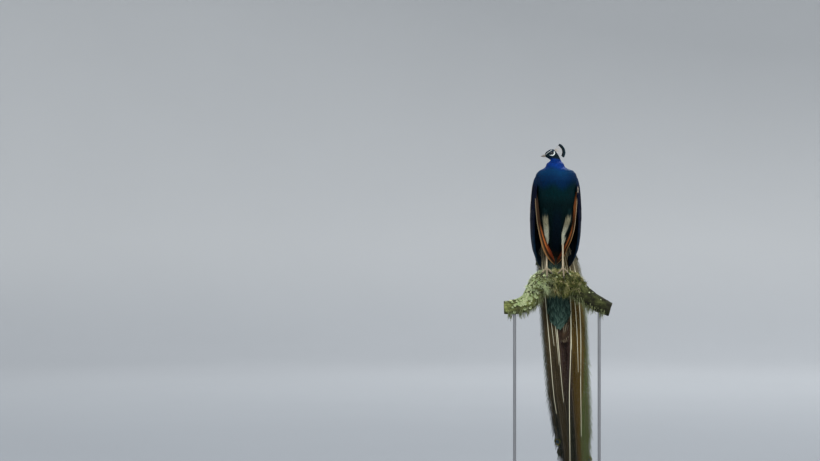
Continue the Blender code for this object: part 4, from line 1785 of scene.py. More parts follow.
@dataclass
class Bill:
    """Two mandibles with a culmen, a nostril under its flap and a drooping tip."""

    base: Colour = rgb(146, 140, 128)
    dark: Colour = rgb(104, 97, 88)
    root_x: float = -0.0550
    length: float = 0.0272
    lower_share: float = 0.86
    gape_z: float = 0.5925
    gap: float = 0.00005                 # half the line between the mandibles
    culmen: tuple[float, float] = (0.6015, 0.5890)

    def build(self) -> None:
        """Makes both mandibles."""
        finish = HornFinish("bill horn", self.base, self.dark, (1, 5, 5), 0.34)
        along = np.linspace(0, 1, 30)[:, None]
        turn = circle(28)
        c, s = np.cos(turn), np.sin(turn)
        for name, upper in (("upper_bill", True), ("lower_bill", False)):
            run = along if upper else along * self.lower_share
            gape = self.gape_z - 0.0030 * run - 0.0012 * np.sin(math.pi * run)
            if upper:
                root, tip = self.culmen
                ridge = root + (tip - root) * run**1.7 + 0.0014 * np.sin(math.pi * run)
                high = np.maximum((ridge - gape - 0.0003) / 2, 0.0006)
                middle = gape + self.gap + high * 0.75
                side = 0.0062 * (1 - along) ** 0.7 + 0.0006
            else:
                high = 0.0029 * (1 - along) ** 0.8 + 0.0004
                middle = gape - self.gap - high * 0.75
                side = 0.0054 * (1 - along) ** 0.7 + 0.0005
            gape_face = np.maximum(-s if upper else s, 0)
            nostril = np.exp(-(((run - 0.24) / 0.085) ** 2) - ((s - 0.30) / 0.28) ** 2) * upper
            y = side * c * (1 - 0.18 * np.maximum(s, 0) ** 2 * upper) * (1 - 0.22 * nostril)
            z = middle + high * s * (1 - 0.25 * gape_face)
            points = FEET + stack(self.root_x - self.length * run, HEAD_Y + y, z)
            # Painted shade: darker in the nostril's hollow and on the faces along the gape; darker too along
            # the upper mandible's top.
            shade = 1 - 0.55 * nostril - 0.25 * np.maximum(s, 0) ** 4 * upper - 0.45 * gape_face**3
            batch = lofts(points[None], shade[None, ..., None])
            Piece(f"{name}_horn", finish, "bill_horn", (name,)).loft(batch)


@dataclass
class Claws:
    """Curved claws and spurs of dark horn, and the scutes that overlap down shank and toes."""

    length: float = 0.0150
    hook: float = 0.0036                 # how far a claw's end bends in
    spur: float = 0.0170
    spur_place: float = 0.30             # its share of the way up the shank
    scutes: int = 22
    scute: tuple = (0.0082, 0.0066, 0.0) # length and width
    toe_scutes: int = 11
    toe_scute: float = 0.0085

    def build(self) -> None:
        """Makes claws, spurs and scutes."""
        horn = {}
        for side in SIDES:
            horn |= {f"claw_{side}_{toe}": self.claw(side, toe) for toe in TOES}
            horn[f"spur_{side}"] = self.spur_rings(side)
        finish = HornFinish("claw horn", rgb(74, 66, 56), rgb(36, 31, 27))
        for name, points in horn.items():
            Piece(f"{name}_horn", finish, "claw_horn", (name,)).loft(lofts(points, (1.0, 1.0, 1.0)))
        self.build_scutes()

    def claw(self, side: str, toe: str) -> Array:
        """A claw that goes on from its toe and hooks down to the perch.

        Args:
            side: left or right.
            toe: the toe's name.

        Returns:
            Its loft.
        """
        before, end = toe_path(side, toe, np.array([0.75, 1.0]))
        way = unit(end - before)
        inward = unit(FEET + (end[0], 0.0, PERCH_AXIS_Z) - end)
        t = np.linspace(0, 1, 14)
        hook = inward * (self.hook * t**2 - 0.0010 * t)[:, None]
        path = end - way * 0.0008 + way * (self.length * t)[:, None] + hook
        radius = TOE_RADIUS * 0.66 * np.interp(t, (0, 0.3, 0.6, 0.85, 1), (0.92, 0.82, 0.58, 0.32, 0.06))
        return tubes(path[None], radius, 14, 0.92, (1.0, 0.0, 0.0))

    def spur_rings(self, side: str) -> Array:
        """A spur on the inner back of the shank.

        Args:
            side: left or right.

        Returns:
            Its loft.
        """
        start, end = shank_ends(side)
        way = unit(np.array([-0.35 * SIDES[side], 0.88, -0.12]))
        root = end + (start - end) * self.spur_place + way * (TARSUS_RADIUS * 0.8)
        t = np.linspace(0, 1, 12)
        path = root + way * (self.spur * 1.05 * t)[:, None] + stack(0.0, 0.0, 0.0022 * t**2)
        return tubes(path[None], np.interp(t, (0, 0.4, 0.75, 1), (0.0034, 0.0025, 0.0014, 0.0003)), 14)

    def build_scutes(self) -> None:
        """Plates down the front and back of each shank and along each toe."""
        plates = []
        for side in SIDES:
            start, end = shank_ends(side)
            way = unit(end - start)
            for facing in ((-0.5, -0.87), (0.5, -0.87), (-0.6, 0.8), (0.6, 0.8)):
                out = unit(square_to(np.array([*facing, 0.0]), way))
                for k in range(self.scutes):
                    t = 0.06 + 0.90 * (k + 0.5 * (facing[0] > 0)) / self.scutes
                    root = start + (end - start) * t + out * (TARSUS_RADIUS * 0.99)
                    plates.append((root, way, out, self.scute))
            for toe in TOES:
                for k in range(self.toe_scutes):
                    t = 0.12 + 0.84 * k / self.toe_scutes
                    here, ahead = toe_path(side, toe, np.array([t, t + 0.02]))
                    out = unit(here - FEET - (here[0] - FEET[0], 0.0, PERCH_AXIS_Z))
                    root = here + out * (TOE_RADIUS * (0.90 - 0.28 * t))
                    wide = 0.0088 * (1 - 0.3 * t)
                    plates.append((root, unit(ahead - here), out, (self.toe_scute, wide, 0.0)))
        root, way, out, size = np.array(plates).transpose(1, 0, 2)
        points = Vane(Outline.BLUNT, 4, 5, 0.30, 0.10, 0.02).straight(root, way, out, size[:, 0], size[:, 1])
        tone = np.random.default_rng(31).uniform(0.85, 1.1, len(root))
        tint = MARKS.shanks(points[..., 2] - FEET[2]) * tone[:, None, None, None]
        finish = VaneFinish("leg scutes", 0.45, barbs=2.0, relief=0.1)
        Piece("leg_scutes", finish, "leg_scales").loft(lofts(points, tint))


@dataclass
class Coat:
    """The small feathers of head, neck, breast, belly, back and thighs."""

    soft: Vane = Vane(Outline.ROUND, 4, 3, 0.09, 0.05, 0.06, 0.0004)

    def build(self) -> None:
        """Makes each tract."""
        self.head()
        self.breast()
        self.belly()
        self.back()
        self.thighs()

    def head(self) -> None:
        """Tiny feathers, none on the bare skin or the lids."""

        def keep(p: Array) -> Array:
            """Off the bare face and the lids."""
            x, y, z = p.T
            return (MARKS.bare_face(x, y, z) < 0.3) & (MARKS.eye_reach(x, z) > 0.0062)

        def tint(p: Array, across: Array, along: Array) -> Array:
            """Glossier blue on the crown."""
            colour = blend(MARKS.torso(p), rgb(5, 42, 66), step(p[..., 2], 0.606, 0.622) * 0.5)
            return colour * (0.75 + 0.5 * along)[..., None]

        pitch = ((0.0, 0.0032), (0.45, 0.0023), (1.0, 0.0016))
        vane = Vane(Outline.ROUND, 3, 3, 0.10, 0.06, 0.03, 0.0003)
        tract = Tract(
            0.992, 0.0, pitch, long=2.6, wide=1.6, sunk=0.0010, vane=vane, yaw=0.08, spread=0.12,
            row=0.8, seed=3, clear=True,
        )
        finish = VaneFinish("head feathers", 0.48, metal=0.40, barbs=8.0)
        Piece("coat_head", finish, "head_feathers").loft(tract.grow(HeadForm(), tint, keep))

    def breast(self) -> None:
        """The blue neck and breast."""

        def keep(p: Array) -> Array:
            """In front, clear of the wings."""
            return ~((p[:, 2] < 0.450) & (np.abs(p[:, 0]) > 0.080) & (p[:, 1] > -0.055)) & (p[:, 1] < 0.075)

        def tint(p: Array, across: Array, along: Array) -> Array:
            """The torso's colour, brighter towards each tip."""
            return MARKS.torso(p) * (0.66 + 0.52 * step(along, 0.2, 0.9))[..., None]

        pitch = ((0.584, 0.0030), (0.545, 0.0038), (0.510, 0.0050), (0.470, 0.0064), (0.40, 0.0080))
        tract = Tract(
            0.5830, 0.40, pitch, long=2.8, wide=1.6, sunk=0.0020, vane=self.soft, yaw=0.07, spread=0.12,
            row=0.85, seed=4,
        )
        finish = VaneFinish("breast feathers", 0.50, metal=0.60, barbs=14.0, specular=0.1)
        Piece("coat_breast", finish, "neck_feathers").loft(tract.grow(Ovals(TORSO), tint, keep))

    def belly(self) -> None:
        """Loose dark feathers down to the vent."""

        def keep(p: Array) -> Array:
            """In front, clear of the wings."""
            return ~((np.abs(p[:, 0]) > 0.080) & (p[:, 1] > -0.055)) & (p[:, 1] < 0.100)

        def tint(p: Array, across: Array, along: Array) -> Array:
            """The torso's colour, brighter towards each tip."""
            return MARKS.torso(p) * (0.6 + 0.6 * along)[..., None]

        pitch = ((0.41, 0.0080), (0.30, 0.0090), (0.15, 0.0086), (0.06, 0.0066))
        vane = Vane(Outline.POINTED, 5, 3, 0.09, 0.06, 0.05, 0.0004)
        tract = Tract(
            0.412, 0.060, pitch, long=3.4, wide=1.5, sunk=0.0028, vane=vane, yaw=0.13, spread=0.18,
            row=0.85, seed=5,
        )
        finish = VaneFinish("belly feathers", 0.58, metal=0.40, barbs=18.0, specular=0.1)
        Piece("coat_belly", finish, "belly_feathers").loft(tract.grow(Ovals(TORSO), tint, keep))

    def back(self) -> None:
        """Scale-like bronze feathers between the wings and over the rump."""

        def keep(p: Array) -> Array:
            """Behind, clear of the wings."""
            return (p[:, 1] > 0.020) & ~((np.abs(p[:, 0]) > 0.088) & (p[:, 2] < 0.44))

        pitch = ((0.515, 0.0095), (0.44, 0.0135), (0.36, 0.0170), (0.26, 0.0190))
        vane = Vane(Outline.BLUNT, 6, 5, 0.10, 0.12, 0.08)
        tract = Tract(
            0.516, 0.262, pitch, long=2.1, wide=1.45, sunk=0.0025, vane=vane, yaw=0.08, spread=0.08,
            row=0.80, seed=6,
        )
        finish = VaneFinish("back feathers", 0.38, metal=0.45, barbs=16.0, sheen=0.1)
        Piece("coat_back", finish, "train_feathers").loft(tract.grow(Ovals(TORSO), MARKS.back, keep))

    def thighs(self) -> None:
        """Soft buff tufts that narrow to the ankle."""
        pitch = ((0.335, 0.0098), (0.24, 0.0078), (0.18, 0.0056), (0.142, 0.0038))
        vane = Vane(Outline.POINTED, 4, 3, 0.12, 0.08, 0.06)
        grown = []
        for number, side in enumerate(SIDES):
            tract = Tract(
                0.334, 0.141, pitch, long=2.8, wide=1.3, sunk=0.0020, vane=vane, yaw=0.16, spread=0.15,
                row=0.80, seed=7 + number,
            )
            grown.append(tract.grow(Thigh(side), self.thigh_tint))
        finish = VaneFinish("thigh feathers", 0.75, barbs=20.0, specular=0.08)
        Piece("coat_thighs", finish, "thigh_feathers").loft(*grown)

    @staticmethod
    def thigh_tint(p: Array, across: Array, along: Array) -> Array:
        """Buff to white downwards; the torso's dark down each side as painted shade where the thigh turns
        away, and above as the belly's colour where its feathers lap over.

        Args:
            p: points relative to the feet.
            across: places across the vane; not used.
            along: places along it.

        Returns:
            The tints.
        """
        x, _, z = np.moveaxis(p, -1, 0)
        left, right, _, wide, _ = table_at(THIGH, z)
        inward = (np.where(x > 0, left, right) - x) * np.sign(x) / wide
        bound = np.interp(z, (0.17, 0.25), (-0.10, 0.42))
        # Painted shade: the torso's dark on the inner and outer sides of each thigh, where it turns away.
        right_shaded_sides = np.maximum(step(inward, 0.28, 0.66), step(-inward, 0.72, 0.98))
        shaded_sides = np.where(x < 0, right_shaded_sides, step(-inward - bound, 0.0, 0.36))
        top = step(z + 0.006 * np.sin(x * 420), 0.258, 0.290)
        colour = blend(MARKS.buff, rgb(244, 243, 214), 1 - step(z, 0.165, 0.245))
        streak = 0.72 + 0.34 * along + 0.10 * np.sin(x * 900)
        # Painted shade on the sides, and the belly's colour over the top.
        shade_and_overlap = np.maximum(shaded_sides * step(z, 0.150, 0.180), top)
        return blend(colour * streak[..., None], MARKS.torso(p), shade_and_overlap)


@dataclass
class Wings:
    """Both folded wings: barred coverts, dark secondaries and chestnut primaries."""

    secondaries: int = 14
    secondary_root: float = 0.352        # height above the feet
    secondary_width: float = 0.034
    greater: int = 15                    # coverts over the secondaries' roots
    greater_root: float = 0.372
    greater_tip: float = 0.262
    greater_width: float = 0.026
    primaries: int = 8
    primary_root: float = 0.405
    tips_apart: float = 0.062            # how much higher the innermost one's tip is
    fan: float = 0.024                   # how far the innermost one's tip spreads inwards

    def build(self) -> None:
        """Makes each wing."""
        for number, side in enumerate(SIDES):
            self.coverts(side, 20 + number)
            self.flight(side, 30 + number)
            self.hand(side, 40 + number)

    @staticmethod
    def dress(side: str, kind: str, form: str, finish: Finish, solid: str, *batches: Batch) -> None:
        """Makes a piece of one kind of feather on one wing."""
        piece = Piece(f"wing_{side}_{kind}_{form}", finish, f"{kind}_feathers", (f"wing_{side}_{solid}",))
        piece.loft(*batches)

    @staticmethod
    def front_share(p: Array) -> Array:
        """How much a place belongs to the wing's dark front edge."""
        return 1 - step(p[..., 1], -0.016, 0.010)

    def coverts(self, side: str, seed: int) -> None:
        """Small feathers barred black and buff, blue-black along the front.

        Args:
            side: left or right.
            seed: for the small differences.
        """

        def tint(p: Array, across: Array, along: Array) -> Array:
            """Bars, the dark front, and a pale fleck on the left wing's.

            Args:
                p: points relative to the feet.
                across: places across the vane.
                along: places along it.

            Returns:
                The tints.
            """
            x, y, z = np.moveaxis(p, -1, 0)
            bars = 0.5 + 0.5 * np.sin(along * 15.0 + np.abs(across) * 1.6 + 2.0 * np.sin(z * 90 + y * 40))
            barred = blend(rgb(18, 17, 15), rgb(164, 142, 108), step(bars, 0.46, 0.68))
            spot = 1 - step(np.hypot((x - 0.1105) / 0.0032, (z - 0.4160) / 0.0190), 0.6, 1.1)
            dark = layered(
                MARKS.blue_black,
                (MARKS.teal, step(z, 0.42, 0.50)),
                (rgb(172, 160, 140), (side == "left") * spot * step(along, 0.1, 0.4)),
            )
            return blend(barred, dark * (0.7 + 0.5 * along)[..., None], self.front_share(p))

        vane = Vane(Outline.ROUND, 8, 3, 0.10, 0.06, 0.05)
        pitch = ((0.492, 0.0070), (0.45, 0.0090), (0.39, 0.0110), (0.33, 0.0130))
        tract = Tract(
            0.493, 0.335, pitch, long=2.5, wide=1.6, sunk=0.0022, vane=vane, yaw=0.06, spread=0.10,
            row=0.85, seed=seed,
        )
        finish = VaneFinish("covert feathers", 0.66, barbs=12.0, specular=0.06)
        self.dress(side, "covert", "coat", finish, "coverts", tract.grow(WingForm(side), tint))

    def flight(self, side: str, seed: int) -> None:
        """Secondaries and their greater coverts, which lap over the wing's lower length.

        Args:
            side: left or right.
            seed: for the small differences.
        """
        rng = np.random.default_rng(seed)
        form = WingForm(side)
        count = self.secondaries
        share = (np.arange(count) + 0.5) / count
        ends = np.interp(share, (0, 0.25, 0.6, 0.85, 1), (0.070, 0.030, 0.010, 0.014, 0.036))
        heights = (np.full(count, self.secondary_root), ends + rng.uniform(-0.003, 0.003, count))
        raised = -0.0040 + 0.0022 * np.abs(share - 0.1) / 0.9
        vane = LongVane(
            Outline.STRAP, self.secondary_width, camber=0.03, lean=0.035, thick=0.0008,
            rings=30, columns=LONG_COLUMNS,
        )
        points = vane.lay(form, (share, 0.10 + 0.82 * share), heights, raised)

        def tint(p: Array, across: Array, along: Array) -> Array:
            """Blue-black, browner behind and bluer below.

            Args:
                p: points relative to the feet.
                across: places across the vane.
                along: places along it.

            Returns:
                The tints.
            """
            inner = step(p[..., 1], 0.03, 0.09)
            low = (1 - step(p[..., 2], 0.10, 0.26)) * (1 - 0.6 * inner)
            colour = layered(
                rgb(8, 18, 42),
                (rgb(9, 13, 20), step(np.abs(across), 0.2, 1.0)),
                (rgb(40, 44, 40), inner * 0.75),
                (rgb(10, 44, 66), low * 0.8),
            )
            return colour * (0.9 + 0.2 * np.sin(along * 40))[..., None]

        def covert_tint(p: Array, across: Array, along: Array) -> Array:
            """Bars near the root, blue-black at the tip and in front.

            Args:
                p: points relative to the feet.
                across: places across the vane.
                along: places along it.

            Returns:
                The tints.
            """
            bars = step(0.5 + 0.5 * np.sin(along * 34 + np.abs(across) * 1.4), 0.4, 0.62)
            barred = blend(rgb(22, 20, 18), rgb(140, 118, 88), bars * (1 - step(along, 0.45, 0.8)))
            return blend(barred, MARKS.blue_black, np.maximum(self.front_share(p), step(along, 0.6, 0.9)))

        long = long_lofts(points, tint, rng.uniform(0, 1, count))
        count = self.greater
        share = (np.arange(count) + 0.5) / count
        ends = self.greater_tip - 0.020 * share + rng.uniform(-0.004, 0.004, count)
        heights = (np.full(count, self.greater_root), ends)
        vane = LongVane(
            Outline.ROUND, self.greater_width, camber=0.05, lean=0.04, thick=0.0007, rings=14, columns=5,
        )
        points = vane.lay(form, (share, share), heights, np.full(count, -0.0025))
        short = long_lofts(points, covert_tint, rng.uniform(0, 1, count))
        finish = VaneFinish(
            "secondary feathers", 0.55, metal=0.40, barbs=110.0, relief=0.30, specular=0.05,
            shaft=rgb(22, 22, 30), shaft_width=0.06,
        )
        self.dress(side, "secondary", "vanes", finish, "secondaries", long, short)

    def hand(self, side: str, seed: int) -> None:
        """Chestnut primaries stacked inside the front edge, which fan towards their tips.

        Args:
            side: left or right.
            seed: for the small differences.
        """
        count, sign, table = self.primaries, SIDES[side], PRIMARIES[side]
        rank = np.linspace(0, 1, count)[:, None]
        tip, root = table[-1][0] - 0.002 + self.tips_apart * rank**1.3, self.primary_root
        v = root + (tip - root) * np.linspace(0, 1, 40)
        x, y, half = table_at(table, v)
        x = x + sign * half * (0.66 - 1.32 * rank) - sign * self.fan * rank * (1 - step(v, 0.040, 0.130))
        y = y + 0.014 * step(v, 0.300, 0.400) + 0.016 * rank
        forward = unit(np.array([0.55 * sign, 0.83, 0.0]))
        facing = (0.83 * sign, -0.55, 0.0)
        points = free_vanes(FEET + stack(x, y, v), half * 0.62, forward, facing, 0.0, 0.0016)

        def tint(p: Array, across: Array, along: Array) -> Array:
            """Tan edge on the outermost, orange strands below it and rusty tips.

            Args:
                p: points relative to the feet.
                across: places across the vane.
                along: places along it.

            Returns:
                The tints.
            """
            depth = rank[..., None]
            # The left wing's tan is painted lighter than the right's: painted light on the side that faces the
            # key lamp.
            high = rgb(198, 172, 134) if side == "left" else rgb(150, 136, 104)
            tan = blend(high, rgb(186, 134, 80), step(along, 0.42, 0.70))
            strand = step(depth, 0.30, 0.40) * (1 - step(depth, 0.66, 0.80)) * step(along, 0.44, 0.60)
            if side == "left":
                strand = np.maximum(strand, (1 - step(along, 0.30, 0.50)) * step(depth, 0.05, 0.15) * 0.45)
            return layered(
                blend(rgb(74, 50, 30), tan, step(across, -0.62, -0.15)),
                (blend(rgb(60, 42, 26), rgb(188, 106, 50), strand), step(depth, 0.02, 0.10)),
                (rgb(126, 54, 26), step(along, 0.78, 0.92) * step(depth, 0.20, 0.45) * 0.9),
            )

        chance = np.random.default_rng(seed).uniform(0, 1, count)
        shaft = rgb(150, 104, 62)
        finish = VaneFinish("primary feathers", 0.6, barbs=120.0, relief=0.30, shaft=shaft, shaft_width=0.08)
        self.dress(side, "primary", "vanes", finish, "primaries", long_lofts(points, tint, chance))


@dataclass
class Tail:
    """Dark coverts under the tail and the stiff ash-brown feathers that prop the train."""

    quills: int = 18
    quill_root: float = 0.125            # heights above the feet
    quill_tip: float = -0.385
    quill_half: float = 0.0150           # half a feather's width

    def build(self) -> None:
        """Makes both."""
        self.under()
        self.stiff()

    def under(self) -> None:
        """Loose green-black feathers below the vent."""

        def tint(p: Array, across: Array, along: Array) -> Array:
            """Green-black, paler at the tips and further down.

            Args:
                p: points relative to the feet.
                across: places across the vane; not used.
                along: places along it.

            Returns:
                The tints.
            """
            z = p[..., 2]
            pale = step(along, 0.45, 1.0) * (0.45 + 0.3 * step(-z, 0.1, 0.25))
            brown = step(z, -0.02, 0.06)
            colour = layered(rgb(42, 66, 58), (rgb(44, 46, 36), brown), (rgb(92, 118, 104), pale))
            return colour * (0.62 + 0.6 * along)[..., None]

        vane = Vane(Outline.POINTED, 6, 3, 0.10, 0.10, 0.08)
        pitch = ((0.07, 0.0110), (-0.26, 0.0145))
        tract = Tract(
            0.066, -0.262, pitch, long=4.2, wide=1.5, sunk=0.0040, vane=vane, yaw=0.16, spread=0.15,
            row=0.85, seed=51,
        )
        finish = VaneFinish("undertail feathers", 0.5, metal=0.15, barbs=26.0)
        piece = Piece("undertail_coat", finish, "undertail_feathers", ("undertail_coverts",))
        piece.loft(tract.grow(Ovals(UNDERTAIL), tint, lambda p: p[:, 1] < 0.112))

    def stiff(self) -> None:
        """Quilled feathers in a shallow fan."""
        count, along = self.quills, np.linspace(0, 1, 24)
        rank = np.linspace(-1, 1, count)[:, None]
        z = self.quill_root + (self.quill_tip + 0.10 * rank**2 - self.quill_root) * along
        x = 0.002 + 0.050 * along + rank * (0.026 + 0.052 * along**0.7)
        y = 0.122 + 0.004 * along + 0.008 * np.abs(rank) - 0.026 * step(z, 0.03, 0.12)
        path = FEET + stack(x, y, z)
        half = np.full(z.shape, self.quill_half)
        points = free_vanes(path, half, (1.0, 0.0, 0.0), (0.0, 1.0, 0.0), 0.0018, 0.0)

        def tint(p: Array, across: Array, along: Array) -> Array:
            """Ash brown, faintly barred."""
            return blend(rgb(66, 50, 34), rgb(54, 42, 32), 0.5 + 0.5 * np.sin(along * 60))

        chance = np.random.default_rng(52).uniform(0, 1, count)
        finish = VaneFinish("tail feathers", 0.6, barbs=90.0, shaft=rgb(178, 166, 136), shaft_width=0.10)
        piece = Piece("tail_vanes", finish, "rectrix_feathers", ("tail_rectrices",))
        piece.loft(long_lofts(points, tint, chance))


@dataclass(frozen=True)
class Plumes:
    """Long loose feathers of the train: where each starts and ends, and how deep it lies."""

    top: Array                               # heights of the roots above the feet
    low: Array                               # heights of the tips
    share_top: Array                         # places across the train at the roots, -1 to 1
    share_low: Array                         # and at the tips
    depth_top: Array                         # places from its front, 0, to its back, 1, at the roots
    depth_low: Array                         # and at the tips
    ahead: Array | float = 0.0               # how far they are drawn ahead at the top, 0 to 1

    def at(self, number: Array, z: Array, aside: Array | float = 0.0, out: Array | float = 0.0) -> Array:
        """Points on or beside the shafts.

        Args:
            number: which feather.
            z: heights.
            aside: how far across from the shaft, in metres.
            out: how far behind it, in metres.

        Returns:
            The points.
        """
        t = np.clip((self.top[number] - z) / (self.top[number] - self.low[number]), 0, 1.2)
        share = self.share_top[number] + (self.share_low[number] - self.share_top[number]) * t**1.5
        deepening = self.depth_low[number] - self.depth_top[number]
        depth = self.depth_top[number] + deepening * np.clip(t, 0, 1) ** 1.3
        x, half, front, back = table_at(TRAIN, z)
        half = half * 0.95
        u = share + aside / half
        room = np.maximum(train_room(np.clip(u, -1, 1)), LEAST_ROOM)
        y = (front + back) / 2 + (back - front) / 2 * (depth * 2 - 1) * room
        ahead = np.broadcast_to(self.ahead, self.top.shape)[number] * (1 - step(-z, 0.36, 0.62))
        return FEET + stack(x + half * u, y + (AHEAD_Y - y) * ahead + out, z)

    def shafts(self, name: str, radius: Array | float, strong: Array | float = 0.0) -> None:
        """Makes a piece of the tapered shafts, the strong ones pale.

        Args:
            name: the piece's name.
            radius: the shafts' radius at the root.
            strong: which are pale, from 0 to 1.
        """
        along = np.linspace(0, 1, 26)
        z = self.top[:, None] + (self.low - self.top)[:, None] * along
        path = self.at(np.arange(len(self.top))[:, None], z)
        points = tubes(path, np.reshape(radius, (-1, 1)) * (1 - 0.72 * along), 6, 1.0, (1.0, 0.0, 0.0))
        bright = np.reshape(strong, (-1, 1)) * (1 - 0.75 * step(z, -0.03, 0.03))
        pale = blend(rgb(128, 112, 84), rgb(232, 226, 194), bright)
        finish = VaneFinish(name.replace("_", " "), 0.4, barbs=2.0, relief=0.05)
        Piece(name, finish, "train_feathers").loft(lofts(points, pale[:, :, None], strips(len(points))))

    def barbs(
        self,
        chosen: Array,
        spacing: float,
        length: float | Array,
        tint: Tint,
        seed: int,
        shown: float = math.inf,
    ) -> Batch:
        """Loose barbs on both sides of some shafts.

        Args:
            chosen: which of the feathers.
            spacing: from barb to barb along a shaft.
            length: a barb's length, or one for each feather.
            tint: colours from the point, its place along the barb and the feather.
            seed: for the small differences.
            shown: how far up from the tip they go.

        Returns:
            The barbs as lofts.
        """
        rng = np.random.default_rng(seed)
        rows = []
        for order, i in enumerate(chosen):
            z = np.arange(self.low[i] + 0.012, min(self.top[i], self.low[i] + shown), spacing)
            for side in (-1, 1):
                height = z + rng.uniform(-0.3, 0.3, len(z)) * spacing
                rows.append(np.broadcast_arrays(i, height, side, 2 * order + (side > 0)))
        number, z, side, column = (np.concatenate(values) for values in zip(*rows))
        count = len(z)
        size = (np.zeros(len(self.top)) + length)[number] * rng.uniform(0.75, 1.2, count)
        slope = np.radians(rng.normal(33, 6, count))[:, None]
        t = np.linspace(0, 1, 3)
        down = size[:, None] * (np.cos(slope) * t + 0.10 * t**2)
        over = (side * size)[:, None] * (np.sin(slope) * t - 0.16 * t**2)
        out = rng.normal(0, 0.0016, count)[:, None] * t**2
        spread = np.broadcast_to(number[:, None], over.shape)
        path = self.at(spread, z[:, None] - down, over, out)
        radius = np.array([0.00085, 0.00075, 0.00020]) * rng.uniform(0.8, 1.25, count)[:, None]
        points = tubes(path, radius, 3, 0.35, (0.0, 1.0, 0.0))
        chance = rng.uniform(0, 1, count)
        colour = tint(path - FEET, np.broadcast_to(t, over.shape), spread)
        columns, steps = 2 * len(chosen), max(int((z.max() - z.min()) / spacing) + 2, 8)
        place = 0.01 + (z.max() - z) / spacing * (0.98 / steps)
        cell = stack(0.01 + column * (0.98 / columns), place, 0.86 / columns, min(MAP_PATCH, 0.60 / steps))
        return lofts(points, colour[:, :, None], cell, chance, np.array([-1.0, 0.0, 1.0]))


